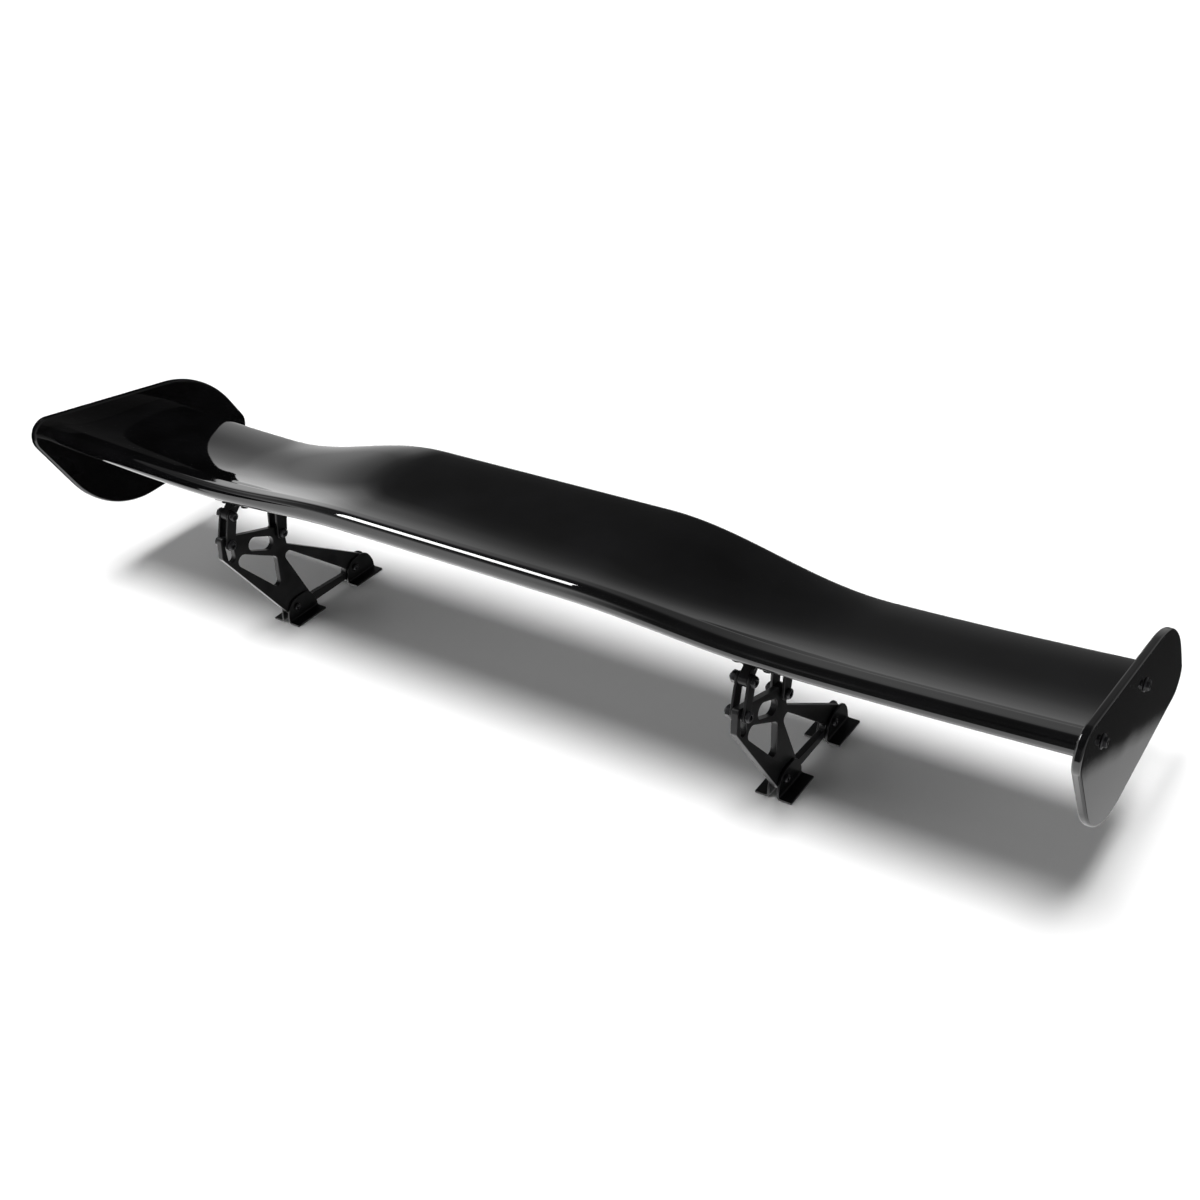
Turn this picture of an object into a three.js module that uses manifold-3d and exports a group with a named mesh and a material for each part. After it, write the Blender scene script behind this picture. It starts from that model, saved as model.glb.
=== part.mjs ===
// Racing rear wing: a hollow moulded blade with a waved front edge, an end plate on each side,
// and two bolted truss stands that let the blade tilt.
// Millimetres. X runs along the span, +Y points to the front of the car, +Z is up.
// The origin lies under the middle of the wing, on the surface that the feet stand on.

import * as THREE from 'three';
import { mergeVertices } from 'three/addons/utils/BufferGeometryUtils.js';
import Module from 'manifold-3d';

const wasm = await Module();
wasm.setup();

// ---- Driving dimensions ----

const GAP = 0.3; // clearance between touching pieces

// Blade
const INNER_SPAN = 1440; // between the end plates' inner faces
const WING_HALF = INNER_SPAN / 2 - GAP;
const REAR_Y = -166.5; // rearmost line of the trailing edge
const FRONT_Y = 44.5; // foremost line of the leading edge
const WALL = 3;
const REAR_RADIUS_MID = 12;
const REAR_RADIUS_OUTER = 10;
const FRONT_RADIUS = 9;
const LIP_MID = 8; // width of the flat band behind the trailing edge
const LIP_OUTER = 18;
const DISH = 8; // depth of the hollow in the upper face
const WAVE_START = 160; // the front edge's wave runs from here to WAVE_END, on both sides
const WAVE_END = 450;
const WAVE_SECTIONS = 10;
const OUTER_SECTIONS = 3;

// End plates
const PLATE_THICKNESS = 9;
const PLATE_EDGE = 2.6; // rounding of the plate's edges
const PLATE_CORNERS = [
  // y, z, radius
  [-203.5, 273.5, 26],
  [124.5, 225, 150],
  [197.5, 97, 24],
  [-101.5, 81, 131],
];
const PLATE_SCREWS = [
  // name, y, z
  ['rear', -121, 228],
  ['front', 15, 205],
];
const RIB_THICKNESS = 6;

// Stands
const STAND_X = 380;
const TRUSS_THICKNESS = 8;
const FORK_HALF = 5.6; // from the stand's middle plane to the straps and ears on each side of it
const STRAP_THICKNESS = 3.2;
const STRAP_WIDTH = 15;
const BOLT_RADIUS = 4;
const COLLAR_RADIUS = 5.7; // shoulder of the slot bolt, inside the truss plate
const PIVOT = [-81, 137]; // y, z of the tilt axis
const LINK_TOP = [-155, 198.5];
const LINK_BOTTOM = [-167.6, 162.5];
const SLOT_LOW = 141.4; // lowest and highest place of the slot bolt
const SLOT_HIGH = 163;
const LINK_TOP_CLEARANCE = 1.1; // lets the tilting bracket follow the link

// Brackets under the blade
const FLANGE_X = 54;
const FLANGE_THICKNESS = 4;
const REAR_FLANGE_Y = -138; // rear bracket, which carries the links
const FRONT_FLANGE_Y = -70; // front bracket, which carries the pivot
const FLANGE_DEPTH = 24;
const FLANGE_SCREW_X = 18;
const SCREW_RADIUS = 2.5;
const BACKING_X = 58;
const BACKING_DEPTH = 18;
const BACKING_THICKNESS = 4;

// Feet
const REAR_FOOT_Y = -72.5;
const FRONT_FOOT_Y = 46;
const FOOT_HALF_LENGTH = 27.5;
const FOOT_HALF_WIDTH = 23;
const FOOT_SHEET = 3;
const FOOT_BEND = 5;
const TAB_HEIGHT = 33;
const FOOT_BOLT_Z = 20;
const FOOT_BOLT_OFFSET_Y = -10;
const FOOT_BOLT_RADIUS = 3;

// ---- Materials ----

const glossBlack = () => new THREE.MeshStandardMaterial({ color: 0x060607, roughness: 0.12, metalness: 0 });
const satinBlack = () => new THREE.MeshStandardMaterial({ color: 0x121212, roughness: 0.5, metalness: 0.6 });
const boltBlack = () => new THREE.MeshStandardMaterial({ color: 0x1a1a1b, roughness: 0.38, metalness: 0.9 });
const zincSteel = () => new THREE.MeshStandardMaterial({ color: 0x9b9ea3, roughness: 0.4, metalness: 0.9 });
const rawPlastic = () => new THREE.MeshStandardMaterial({ color: 0x1c1c1d, roughness: 0.6, metalness: 0 });

// ---- Solids and joins ----

function toSolid(geometry, matrix) {
  const plain = geometry.clone();
  plain.deleteAttribute('normal');
  plain.deleteAttribute('uv');
  if (matrix) plain.applyMatrix4(matrix);
  const merged = mergeVertices(plain, 1e-4);
  return new wasm.Manifold(new wasm.Mesh({
    numProp: 3,
    vertProperties: new Float32Array(merged.attributes.position.array),
    triVerts: new Uint32Array(merged.index.array),
  }));
}

function toGeometry(solid) {
  const mesh = solid.getMesh();
  const geometry = new THREE.BufferGeometry();
  geometry.setAttribute('position', new THREE.BufferAttribute(mesh.vertProperties, 3));
  geometry.setIndex(new THREE.BufferAttribute(mesh.triVerts, 1));
  return geometry;
}

function addMesh(parent, name, geometry, material, place = [0, 0, 0]) {
  const mesh = new THREE.Mesh(geometry, material);
  mesh.name = name;
  mesh.position.set(...place);
  parent.add(mesh);
  return mesh;
}

// ---- Outlines and extrusions ----

// Closed outline through corners [u, v, radius], each rounded by an arc.
function roundedShape(corners) {
  const shape = new THREE.Shape();
  corners.forEach(([u, v, radius], index) => {
    const corner = new THREE.Vector2(u, v);
    const before = corners[(index + corners.length - 1) % corners.length];
    const after = corners[(index + 1) % corners.length];
    const back = new THREE.Vector2(before[0], before[1]).sub(corner).normalize();
    const ahead = new THREE.Vector2(after[0], after[1]).sub(corner).normalize();
    const half = Math.acos(THREE.MathUtils.clamp(back.dot(ahead), -1, 1)) / 2;
    const reach = radius / Math.tan(half);
    const start = corner.clone().addScaledVector(back, reach);
    const end = corner.clone().addScaledVector(ahead, reach);
    const middle = back.clone().add(ahead).normalize();
    const centre = corner.clone().addScaledVector(middle, radius / Math.sin(half));
    const startAngle = start.clone().sub(centre).angle();
    const endAngle = end.clone().sub(centre).angle();
    const clockwise = back.cross(ahead) > 0;
    if (index === 0) shape.moveTo(start.x, start.y);
    else shape.lineTo(start.x, start.y);
    shape.absarc(centre.x, centre.y, radius, startAngle, endAngle, clockwise);
  });
  shape.closePath();
  return shape;
}

// Straight-sided ring of points round (u, v) whose sides touch the circle from outside.
function arcAround(u, v, radius, from, to, steps) {
  const reach = radius / Math.cos((to - from) / steps / 2);
  return Array.from({ length: steps + 1 }, (_, step) => {
    const angle = from + (to - from) * step / steps;
    return new THREE.Vector2(u + reach * Math.cos(angle), v + reach * Math.sin(angle));
  });
}

const HOLE_SIDES = 12;

function circleHole(u, v, radius) {
  return new THREE.Path(arcAround(u, v, radius, 0, 2 * Math.PI, HOLE_SIDES).slice(0, -1));
}

// Straight slot with round ends between two points.
function stadium(u0, v0, u1, v1, radius, Kind = THREE.Path) {
  const heading = Math.atan2(v1 - v0, u1 - u0);
  return new Kind([
    ...arcAround(u1, v1, radius, heading - Math.PI / 2, heading + Math.PI / 2, HOLE_SIDES / 2),
    ...arcAround(u0, v0, radius, heading + Math.PI / 2, heading + 1.5 * Math.PI, HOLE_SIDES / 2),
  ]);
}

// Shape drawn in (y, z), extruded along x from x0 to x1.
const YZ_TO_X = new THREE.Matrix4().makeBasis(
  new THREE.Vector3(0, 1, 0), new THREE.Vector3(0, 0, 1), new THREE.Vector3(1, 0, 0));

function extrudeX(shape, x0, x1, curveSegments = 4) {
  const geometry = new THREE.ExtrudeGeometry(shape, { depth: x1 - x0, bevelEnabled: false, curveSegments });
  geometry.applyMatrix4(YZ_TO_X);
  geometry.translate(x0, 0, 0);
  return geometry;
}

// Shape drawn in (x, z), extruded along y from y0 to y1.
function extrudeY(shape, y0, y1, curveSegments = 4) {
  const geometry = new THREE.ExtrudeGeometry(shape, { depth: y1 - y0, bevelEnabled: false, curveSegments });
  geometry.rotateX(Math.PI / 2);
  geometry.translate(0, y1, 0);
  return geometry;
}

function cylinderX(radius, x0, x1, y, z, segments = HOLE_SIDES) {
  const geometry = new THREE.CylinderGeometry(radius, radius, x1 - x0, segments);
  geometry.rotateZ(-Math.PI / 2);
  geometry.translate((x0 + x1) / 2, y, z);
  return geometry;
}

function cylinderZ(radius, z0, z1, x, y, segments = 10) {
  const geometry = new THREE.CylinderGeometry(radius, radius, z1 - z0, segments);
  geometry.rotateX(Math.PI / 2);
  geometry.translate(x, y, (z0 + z1) / 2);
  return geometry;
}

// ---- Fasteners ----

// Button-head bolt on the +X axis: the head's flat side is at x = 0, and the shank runs to x = -length.
// A collar, where there is one, is a thicker stretch of the shank, given as { radius, from, to }.
function buttonBolt(shankRadius, length, headRadius, headHeight, collar) {
  const shoulder = collar ? [
    [shankRadius, collar.from],
    [collar.radius, collar.from],
    [collar.radius, collar.to],
    [shankRadius, collar.to],
  ] : [];
  const profile = [
    [0, -length],
    [shankRadius, -length],
    ...shoulder,
    [shankRadius, 0],
    [headRadius, 0],
    [headRadius, headHeight * 0.4],
    [headRadius * 0.6, headHeight],
    [0, headHeight],
  ].map(([radius, along]) => new THREE.Vector2(radius, along));
  const geometry = new THREE.LatheGeometry(profile, HOLE_SIDES);
  geometry.rotateZ(-Math.PI / 2);
  return geometry;
}

// Flange-head hexagon bolt on the +X axis, with a moulded-on washer.
function flangeBolt(shankRadius, length, flangeRadius, flangeHeight, hexRadius, hexHeight) {
  const body = new THREE.LatheGeometry([
    [0, -length],
    [shankRadius, -length],
    [shankRadius, 0],
    [flangeRadius, 0],
    [flangeRadius, flangeHeight],
    [0, flangeHeight],
  ].map(([radius, along]) => new THREE.Vector2(radius, along)), 14);
  body.rotateZ(-Math.PI / 2);
  const hex = cylinderX(hexRadius, flangeHeight / 2, flangeHeight + hexHeight, 0, 0, 6);
  return toGeometry(toSolid(body).add(toSolid(hex)));
}

// Hexagon nut on the X axis, from x = 0 to x = height.
function hexNut(holeRadius, hexRadius, height) {
  const outline = new THREE.Shape();
  for (let side = 0; side < 6; side += 1) {
    const angle = side * Math.PI / 3;
    const point = [hexRadius * Math.cos(angle), hexRadius * Math.sin(angle)];
    if (side === 0) outline.moveTo(...point);
    else outline.lineTo(...point);
  }
  outline.closePath();
  outline.holes.push(circleHole(0, 0, holeRadius));
  return extrudeX(outline, 0, height, 6);
}

// ---- Blade sections ----

const smooth = (t) => (1 - Math.cos(Math.PI * THREE.MathUtils.clamp(t, 0, 1))) / 2;
const mix = (a, b, t) => a + (b - a) * t;

// Height along the span: level over the middle, then a wave down, then a slow rise to the end plate.
function waveHeight(x, middle, low, rise, power, waveStart, waveEnd) {
  const distance = Math.abs(x);
  const beyond = Math.max(0, (distance - 430) / 290);
  const outer = low + rise * beyond ** power;
  return mix(middle, outer, smooth((distance - waveStart) / (waveEnd - waveStart)));
}

const outerShare = (x) => smooth((Math.abs(x) - WAVE_START) / 250);
const rearRadius = (x) => mix(REAR_RADIUS_MID, REAR_RADIUS_OUTER, outerShare(x));
const rearHeight = (x) => waveHeight(x, 243.6, 231, 11.5, 1.4, WAVE_START, 410);
const frontHeight = (x) => waveHeight(x, 239.8, 194.8, 11.4, 1.6, WAVE_START + 10, WAVE_END);

const polar = (centre, radius, angle) => [
  centre[0] + radius * Math.cos(angle),
  centre[1] + radius * Math.sin(angle),
];

function arcPoints(centre, radius, from, to, steps) {
  const points = [];
  for (let step = 0; step <= steps; step += 1) {
    points.push(polar(centre, radius, mix(from, to, step / steps)));
  }
  return points;
}

// Outer upper and lower lines of the blade's section at x, each from the trailing to the leading edge.
function bladeSection(x) {
  const radius = rearRadius(x);
  const rear = [REAR_Y + radius, rearHeight(x)];
  const front = [FRONT_Y - FRONT_RADIUS, frontHeight(x)];
  const chordAngle = Math.atan2(front[1] - rear[1], front[0] - rear[0]);
  const right = Math.PI / 2;
  const seam = GAP * 0.7;

  const lipStart = polar(rear, radius, right + chordAngle);
  const lipWidth = mix(LIP_MID, LIP_OUTER, outerShare(x));
  const crease = polar(lipStart, lipWidth, chordAngle);
  const faceAngle = Math.atan2(front[1] + FRONT_RADIUS - crease[1], front[0] - crease[0]);
  const faceEnd = polar(front, FRONT_RADIUS, right + faceAngle);
  const upper = arcPoints(rear, radius, Math.PI - seam / radius, right + chordAngle, 3);
  const faceSteps = 7;
  for (let step = 0; step < faceSteps; step += 1) {
    const s = step / faceSteps;
    const dip = DISH * 6.75 * s * (1 - s) ** 2;
    upper.push([mix(crease[0], faceEnd[0], s), mix(crease[1], faceEnd[1], s) - dip]);
  }
  upper.push(...arcPoints(front, FRONT_RADIUS, right + faceAngle, seam / FRONT_RADIUS, 3));

  const rearSlope = chordAngle - 0.21;
  const frontSlope = chordAngle + 0.25;
  const lowerStart = polar(rear, radius, rearSlope - right);
  const lowerEnd = polar(front, FRONT_RADIUS, frontSlope - right);
  const pull = 0.36 * (lowerEnd[0] - lowerStart[0]);
  const belly = new THREE.CubicBezierCurve(
    new THREE.Vector2(...lowerStart),
    new THREE.Vector2(lowerStart[0] + pull, lowerStart[1] + pull * Math.tan(rearSlope)),
    new THREE.Vector2(lowerEnd[0] - pull, lowerEnd[1] - pull * Math.tan(frontSlope)),
    new THREE.Vector2(...lowerEnd),
  );
  const lower = arcPoints(rear, radius, -Math.PI + seam / radius, rearSlope - right, 3);
  const bellySteps = 6;
  for (let step = 1; step < bellySteps; step += 1) {
    const point = belly.getPoint(step / bellySteps);
    lower.push([point.x, point.y]);
  }
  lower.push(...arcPoints(front, FRONT_RADIUS, frontSlope - right, -seam / FRONT_RADIUS, 3));
  return { upper, lower };
}

// Rear-to-front line moved sideways by a distance; positive moves it up. Its two ends lie on
// upright faces, so they move level, towards the middle of the section.
function offsetLine(line, distance) {
  return line.map((point, index) => {
    if (index === 0) return [point[0] + Math.abs(distance), point[1]];
    if (index === line.length - 1) return [point[0] - Math.abs(distance), point[1]];
    const before = line[index - 1];
    const after = line[index + 1];
    const length = Math.hypot(after[0] - before[0], after[1] - before[1]);
    return [
      point[0] - distance * (after[1] - before[1]) / length,
      point[1] + distance * (after[0] - before[0]) / length,
    ];
  });
}

// Closed body through closed outlines in (y, z) at the given x stations.
function loft(givenOutlines, stations) {
  const firstContour = givenOutlines[0].map(([y, z]) => new THREE.Vector2(y, z));
  const clockwise = THREE.ShapeUtils.isClockWise(firstContour);
  const outlines = clockwise ? givenOutlines.map((outline) => [...outline].reverse()) : givenOutlines;
  const count = outlines[0].length;
  const positions = [];
  outlines.forEach((outline, index) => {
    outline.forEach(([y, z]) => positions.push(stations[index], y, z));
  });
  const indices = [];
  for (let section = 0; section < outlines.length - 1; section += 1) {
    for (let point = 0; point < count; point += 1) {
      const next = (point + 1) % count;
      const a = section * count + point;
      const b = section * count + next;
      indices.push(a, b, a + count, b, b + count, a + count);
    }
  }
  const contour = outlines[0].map(([y, z]) => new THREE.Vector2(y, z));
  const last = (outlines.length - 1) * count;
  THREE.ShapeUtils.triangulateShape(contour, []).forEach(([a, b, c]) => {
    indices.push(a, c, b, last + a, last + b, last + c);
  });
  const geometry = new THREE.BufferGeometry();
  geometry.setAttribute('position', new THREE.Float32BufferAttribute(positions, 3));
  geometry.setIndex(indices);
  return geometry;
}

// Section places along the span, closest together where the blade waves.
const evenly = (from, to, count) => Array.from({ length: count }, (_, i) => mix(from, to, i / count));
const halfStations = [
  ...evenly(WAVE_START, WAVE_END, WAVE_SECTIONS),
  ...evenly(WAVE_END, WING_HALF, OUTER_SECTIONS),
  WING_HALF,
];
const spanStations = [...halfStations.map((x) => -x).reverse(), ...halfStations];

const upperSkinOutline = (x) => {
  const { upper } = bladeSection(x);
  return [...upper, ...offsetLine(upper, -WALL).reverse()];
};

const lowerSkinOutline = (x) => {
  const { lower } = bladeSection(x);
  return [...lower, ...offsetLine(lower, WALL).reverse()];
};

// The blade's section shrunk by an inset, as one closed outline.
const fullOutline = (x, inset) => {
  const { upper, lower } = bladeSection(x);
  return [...offsetLine(lower, inset), ...offsetLine(upper, -inset).reverse()];
};

const loftSpan = (outlineAt, stations = spanStations) => loft(stations.map(outlineAt), stations);

const hull = toSolid(loftSpan((x) => fullOutline(x, 0)));
const lowerSkinSolid = toSolid(loftSpan(lowerSkinOutline));

// Height of the blade's underside at (x, y).
function undersideHeight(x, y) {
  const { lower } = bladeSection(x);
  const index = lower.findIndex((point, i) => i > 0 && lower[i - 1][0] <= y && point[0] >= y);
  const [from, to] = [lower[index - 1], lower[index]];
  return mix(from[1], to[1], (y - from[0]) / (to[0] - from[0]));
}

// Place of a bracket's flange: local z is square to the underside, local z = 0 touches it.
function flangeMatrix(side, y) {
  const x = side * STAND_X;
  const reachX = FLANGE_X / 2;
  const reachY = FLANGE_DEPTH / 2;
  const slopeX = (undersideHeight(x + reachX, y) - undersideHeight(x - reachX, y)) / FLANGE_X;
  const slopeY = (undersideHeight(x, y + reachY) - undersideHeight(x, y - reachY)) / FLANGE_DEPTH;
  const along = new THREE.Vector3(1, 0, slopeX).normalize();
  const up = new THREE.Vector3(-slopeX, -slopeY, 1).normalize();
  const across = up.clone().cross(along);
  return new THREE.Matrix4()
    .makeBasis(along, across, up)
    .setPosition(x, y, undersideHeight(x, y));
}

// ---- Brackets under the blade ----

const SCREW_PLACES = [['outer', 1], ['inner', -1]];

function flangeBlock() {
  const block = new THREE.BoxGeometry(FLANGE_X, FLANGE_DEPTH, FLANGE_THICKNESS + 8);
  block.translate(0, 0, 4 - FLANGE_THICKNESS / 2);
  return block;
}

function cutFlange(solid, matrix) {
  let result = solid.subtract(hull.translate([0, 0, -GAP]));
  SCREW_PLACES.forEach(([, side]) => {
    const hole = cylinderZ(SCREW_RADIUS + GAP, -12, 12, side * FLANGE_SCREW_X, 0);
    result = result.subtract(toSolid(hole, matrix));
  });
  return result;
}

// Rear bracket: flange, flared web and one lug between the two link straps.
function rearBracket(side) {
  const matrix = flangeMatrix(side, REAR_FLANGE_Y);
  const x = side * STAND_X;
  const half = FORK_HALF - GAP;
  const height = undersideHeight(x, REAR_FLANGE_Y);
  const lugRadius = 7.5;
  const [lugY, lugZ] = LINK_TOP;
  const lug = new THREE.Shape();
  const lugStart = 0.75 * Math.PI;
  lug.moveTo(lugY + lugRadius * Math.cos(lugStart), lugZ + lugRadius * Math.sin(lugStart));
  lug.absarc(lugY, lugZ, lugRadius, lugStart, 1.75 * Math.PI, false);
  lug.quadraticCurveTo(REAR_FLANGE_Y - 4, height - 14, REAR_FLANGE_Y + 8, height - 5);
  lug.lineTo(REAR_FLANGE_Y - 11.5, height + 1);
  lug.closePath();
  const flareTop = height - 2;
  const flareHeight = 6;
  const flare = new THREE.Shape();
  flare.moveTo(-12, flareTop);
  flare.quadraticCurveTo(-half, flareTop - 1.5, -half, flareTop - flareHeight);
  flare.lineTo(half, flareTop - flareHeight);
  flare.quadraticCurveTo(half, flareTop - 1.5, 12, flareTop);
  flare.closePath();
  const solid = toSolid(flangeBlock(), matrix)
    .add(toSolid(extrudeX(lug, x - half, x + half, 6)))
    .add(toSolid(extrudeY(flare, REAR_FLANGE_Y - 11, REAR_FLANGE_Y + 6, 4).translate(x, 0, 0)));
  const bolt = cylinderX(BOLT_RADIUS + LINK_TOP_CLEARANCE, x - 20, x + 20, lugY, lugZ, 20);
  return toGeometry(cutFlange(solid, matrix).subtract(toSolid(bolt)));
}

// Front bracket: flange and two ears outside the truss plate.
function frontBracket(side) {
  const matrix = flangeMatrix(side, FRONT_FLANGE_Y);
  const x = side * STAND_X;
  const height = undersideHeight(x, FRONT_FLANGE_Y);
  const earRadius = 8.5;
  const [pivotY, pivotZ] = PIVOT;
  const ear = new THREE.Shape();
  ear.moveTo(pivotY - earRadius, pivotZ + 3);
  ear.absarc(pivotY, pivotZ, earRadius, Math.PI, 2 * Math.PI, false);
  ear.lineTo(FRONT_FLANGE_Y + 11, height - 4);
  ear.lineTo(FRONT_FLANGE_Y - 11, height - 1);
  ear.closePath();
  let solid = toSolid(flangeBlock(), matrix);
  [FORK_HALF, -FORK_HALF - STRAP_THICKNESS].forEach((start) => {
    solid = solid.add(toSolid(extrudeX(ear, x + start, x + start + STRAP_THICKNESS, 6)));
  });
  const bolt = cylinderX(BOLT_RADIUS + GAP, x - 20, x + 20, pivotY, pivotZ);
  return toGeometry(cutFlange(solid, matrix).subtract(toSolid(bolt)));
}

// Steel strip inside the blade that a bracket's screws pull on.
function backingPlate(side, y) {
  const matrix = flangeMatrix(side, y);
  const sunk = WALL / 2;
  const block = new THREE.BoxGeometry(BACKING_X, BACKING_DEPTH, BACKING_THICKNESS + sunk);
  block.translate(0, 0, WALL + (BACKING_THICKNESS - sunk) / 2);
  let solid = toSolid(block, matrix).subtract(lowerSkinSolid.translate([0, 0, GAP]));
  SCREW_PLACES.forEach(([, screwSide]) => {
    const hole = cylinderZ(SCREW_RADIUS + GAP, -12, 20, screwSide * FLANGE_SCREW_X, 0);
    solid = solid.subtract(toSolid(hole, matrix));
  });
  return toGeometry(solid);
}

function bracketScrew() {
  const length = FLANGE_THICKNESS + WALL + BACKING_THICKNESS + 2;
  const geometry = buttonBolt(SCREW_RADIUS, length, 5, 4.5);
  geometry.rotateY(Math.PI / 2);
  geometry.translate(0, 0, -FLANGE_THICKNESS - GAP);
  return geometry;
}

// ---- Blade assembly ----

const model = new THREE.Group();
const blade = new THREE.Group();
model.add(blade);

const bracketPlaces = [];
[['left', -1], ['right', 1]].forEach(([sideName, side]) => {
  [['rear', REAR_FLANGE_Y], ['front', FRONT_FLANGE_Y]].forEach(([endName, y]) => {
    bracketPlaces.push({ sideName, side, endName, y, matrix: flangeMatrix(side, y) });
  });
});

let lowerSkin = lowerSkinSolid;
bracketPlaces.forEach(({ matrix }) => {
  SCREW_PLACES.forEach(([, screwSide]) => {
    const hole = cylinderZ(SCREW_RADIUS + GAP, -12, 20, screwSide * FLANGE_SCREW_X, 0, 10);
    lowerSkin = lowerSkin.subtract(toSolid(hole, matrix));
  });
});
addMesh(blade, 'upper_skin', loftSpan(upperSkinOutline), glossBlack());
addMesh(blade, 'lower_skin', toGeometry(lowerSkin), glossBlack());

function endRib(side) {
  const inner = side * (WING_HALF - RIB_THICKNESS);
  const stations = [inner, side * WING_HALF].sort((a, b) => a - b);
  let rib = toSolid(loftSpan((x) => fullOutline(x, WALL + GAP), stations));
  PLATE_SCREWS.forEach(([, y, z]) => {
    rib = rib.subtract(toSolid(cylinderX(SCREW_RADIUS + GAP, inner - 10, inner + 10, y, z)));
  });
  return toGeometry(rib);
}

function endPlate() {
  const outline = roundedShape(PLATE_CORNERS.map(([y, z, radius]) => [y, z, radius]));
  PLATE_SCREWS.forEach(([, y, z]) => outline.holes.push(circleHole(y, z, SCREW_RADIUS + PLATE_EDGE + 0.7)));
  const geometry = new THREE.ExtrudeGeometry(outline, {
    depth: PLATE_THICKNESS - 2 * PLATE_EDGE,
    bevelEnabled: true,
    bevelThickness: PLATE_EDGE,
    bevelSize: PLATE_EDGE,
    bevelOffset: -PLATE_EDGE,
    bevelSegments: 1,
    curveSegments: 5,
  });
  geometry.applyMatrix4(YZ_TO_X);
  geometry.translate(PLATE_EDGE, 0, 0);
  return geometry;
}

[['left', -1], ['right', 1]].forEach(([sideName, side]) => {
  const plateX = side > 0 ? INNER_SPAN / 2 : -INNER_SPAN / 2 - PLATE_THICKNESS;
  addMesh(blade, `end_rib_${sideName}`, endRib(side), rawPlastic());
  addMesh(blade, `end_plate_${sideName}`, endPlate(), glossBlack(), [plateX, 0, 0]);
  PLATE_SCREWS.forEach(([screwName, y, z]) => {
    const screw = flangeBolt(SCREW_RADIUS, PLATE_THICKNESS + RIB_THICKNESS, 8, 1.6, 5.6, 6);
    if (side < 0) screw.rotateZ(Math.PI);
    const seat = side * (INNER_SPAN / 2 + PLATE_THICKNESS + GAP);
    addMesh(blade, `end_plate_screw_${sideName}_${screwName}`, screw, boltBlack(), [seat, y, z]);
  });
});

bracketPlaces.forEach(({ sideName, side, endName, y, matrix }) => {
  const bracket = endName === 'rear' ? rearBracket(side) : frontBracket(side);
  addMesh(blade, `${endName}_bracket_${sideName}`, bracket, satinBlack());
  addMesh(blade, `${endName}_backing_plate_${sideName}`, backingPlate(side, y), zincSteel());
  const seat = new THREE.Group();
  seat.applyMatrix4(matrix);
  blade.add(seat);
  SCREW_PLACES.forEach(([placeName, place]) => {
    const name = `${endName}_bracket_screw_${sideName}_${placeName}`;
    addMesh(seat, name, bracketScrew(), boltBlack(), [side * place * FLANGE_SCREW_X, 0, 0]);
  });
});

// ---- Stands ----

function trussPlate() {
  const base = FOOT_SHEET + 1;
  const barBottom = 8;
  const outline = roundedShape([
    [-88.5, base, 3],
    [-182.3, 146, 5],
    [-178.3, 175.5, 5],
    [-90, 148, 6],
    [-73, 147.5, 8.5],
    [-74, 115, 5],
    [57, 30.5, 5],
    [73, 14, 4],
    [73, base, 2],
    [19, base, 2],
    [17, barBottom, 2],
    [-43, barBottom, 2],
    [-45, base, 2],
  ].reverse());
  outline.holes.push(
    circleHole(PIVOT[0], PIVOT[1], BOLT_RADIUS + GAP),
    stadium(LINK_BOTTOM[0], SLOT_LOW, LINK_BOTTOM[0], SLOT_HIGH, COLLAR_RADIUS + GAP),
    stadium(-127.5, 141.8, -105, 131.5, 9.5),
    roundedShape([[-191, 161.5, 8.7], [-95, 106.2, 8], [-98.5, 55.7, 6]]),
    roundedShape([[-90.5, 119.9, 6.5], [30, 16.5, 5], [-49.5, 21, 6]]),
  );
  [REAR_FOOT_Y, FRONT_FOOT_Y].forEach((footY) => {
    outline.holes.push(circleHole(footY + FOOT_BOLT_OFFSET_Y, FOOT_BOLT_Z, FOOT_BOLT_RADIUS + GAP));
  });
  return extrudeX(outline, -TRUSS_THICKNESS / 2, TRUSS_THICKNESS / 2, 2);
}

function strap() {
  const outline = stadium(...LINK_BOTTOM, ...LINK_TOP, STRAP_WIDTH / 2, THREE.Shape);
  outline.holes.push(circleHole(...LINK_BOTTOM, BOLT_RADIUS + GAP));
  outline.holes.push(circleHole(...LINK_TOP, BOLT_RADIUS + GAP));
  return extrudeX(outline, 0, STRAP_THICKNESS, 4);
}

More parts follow.
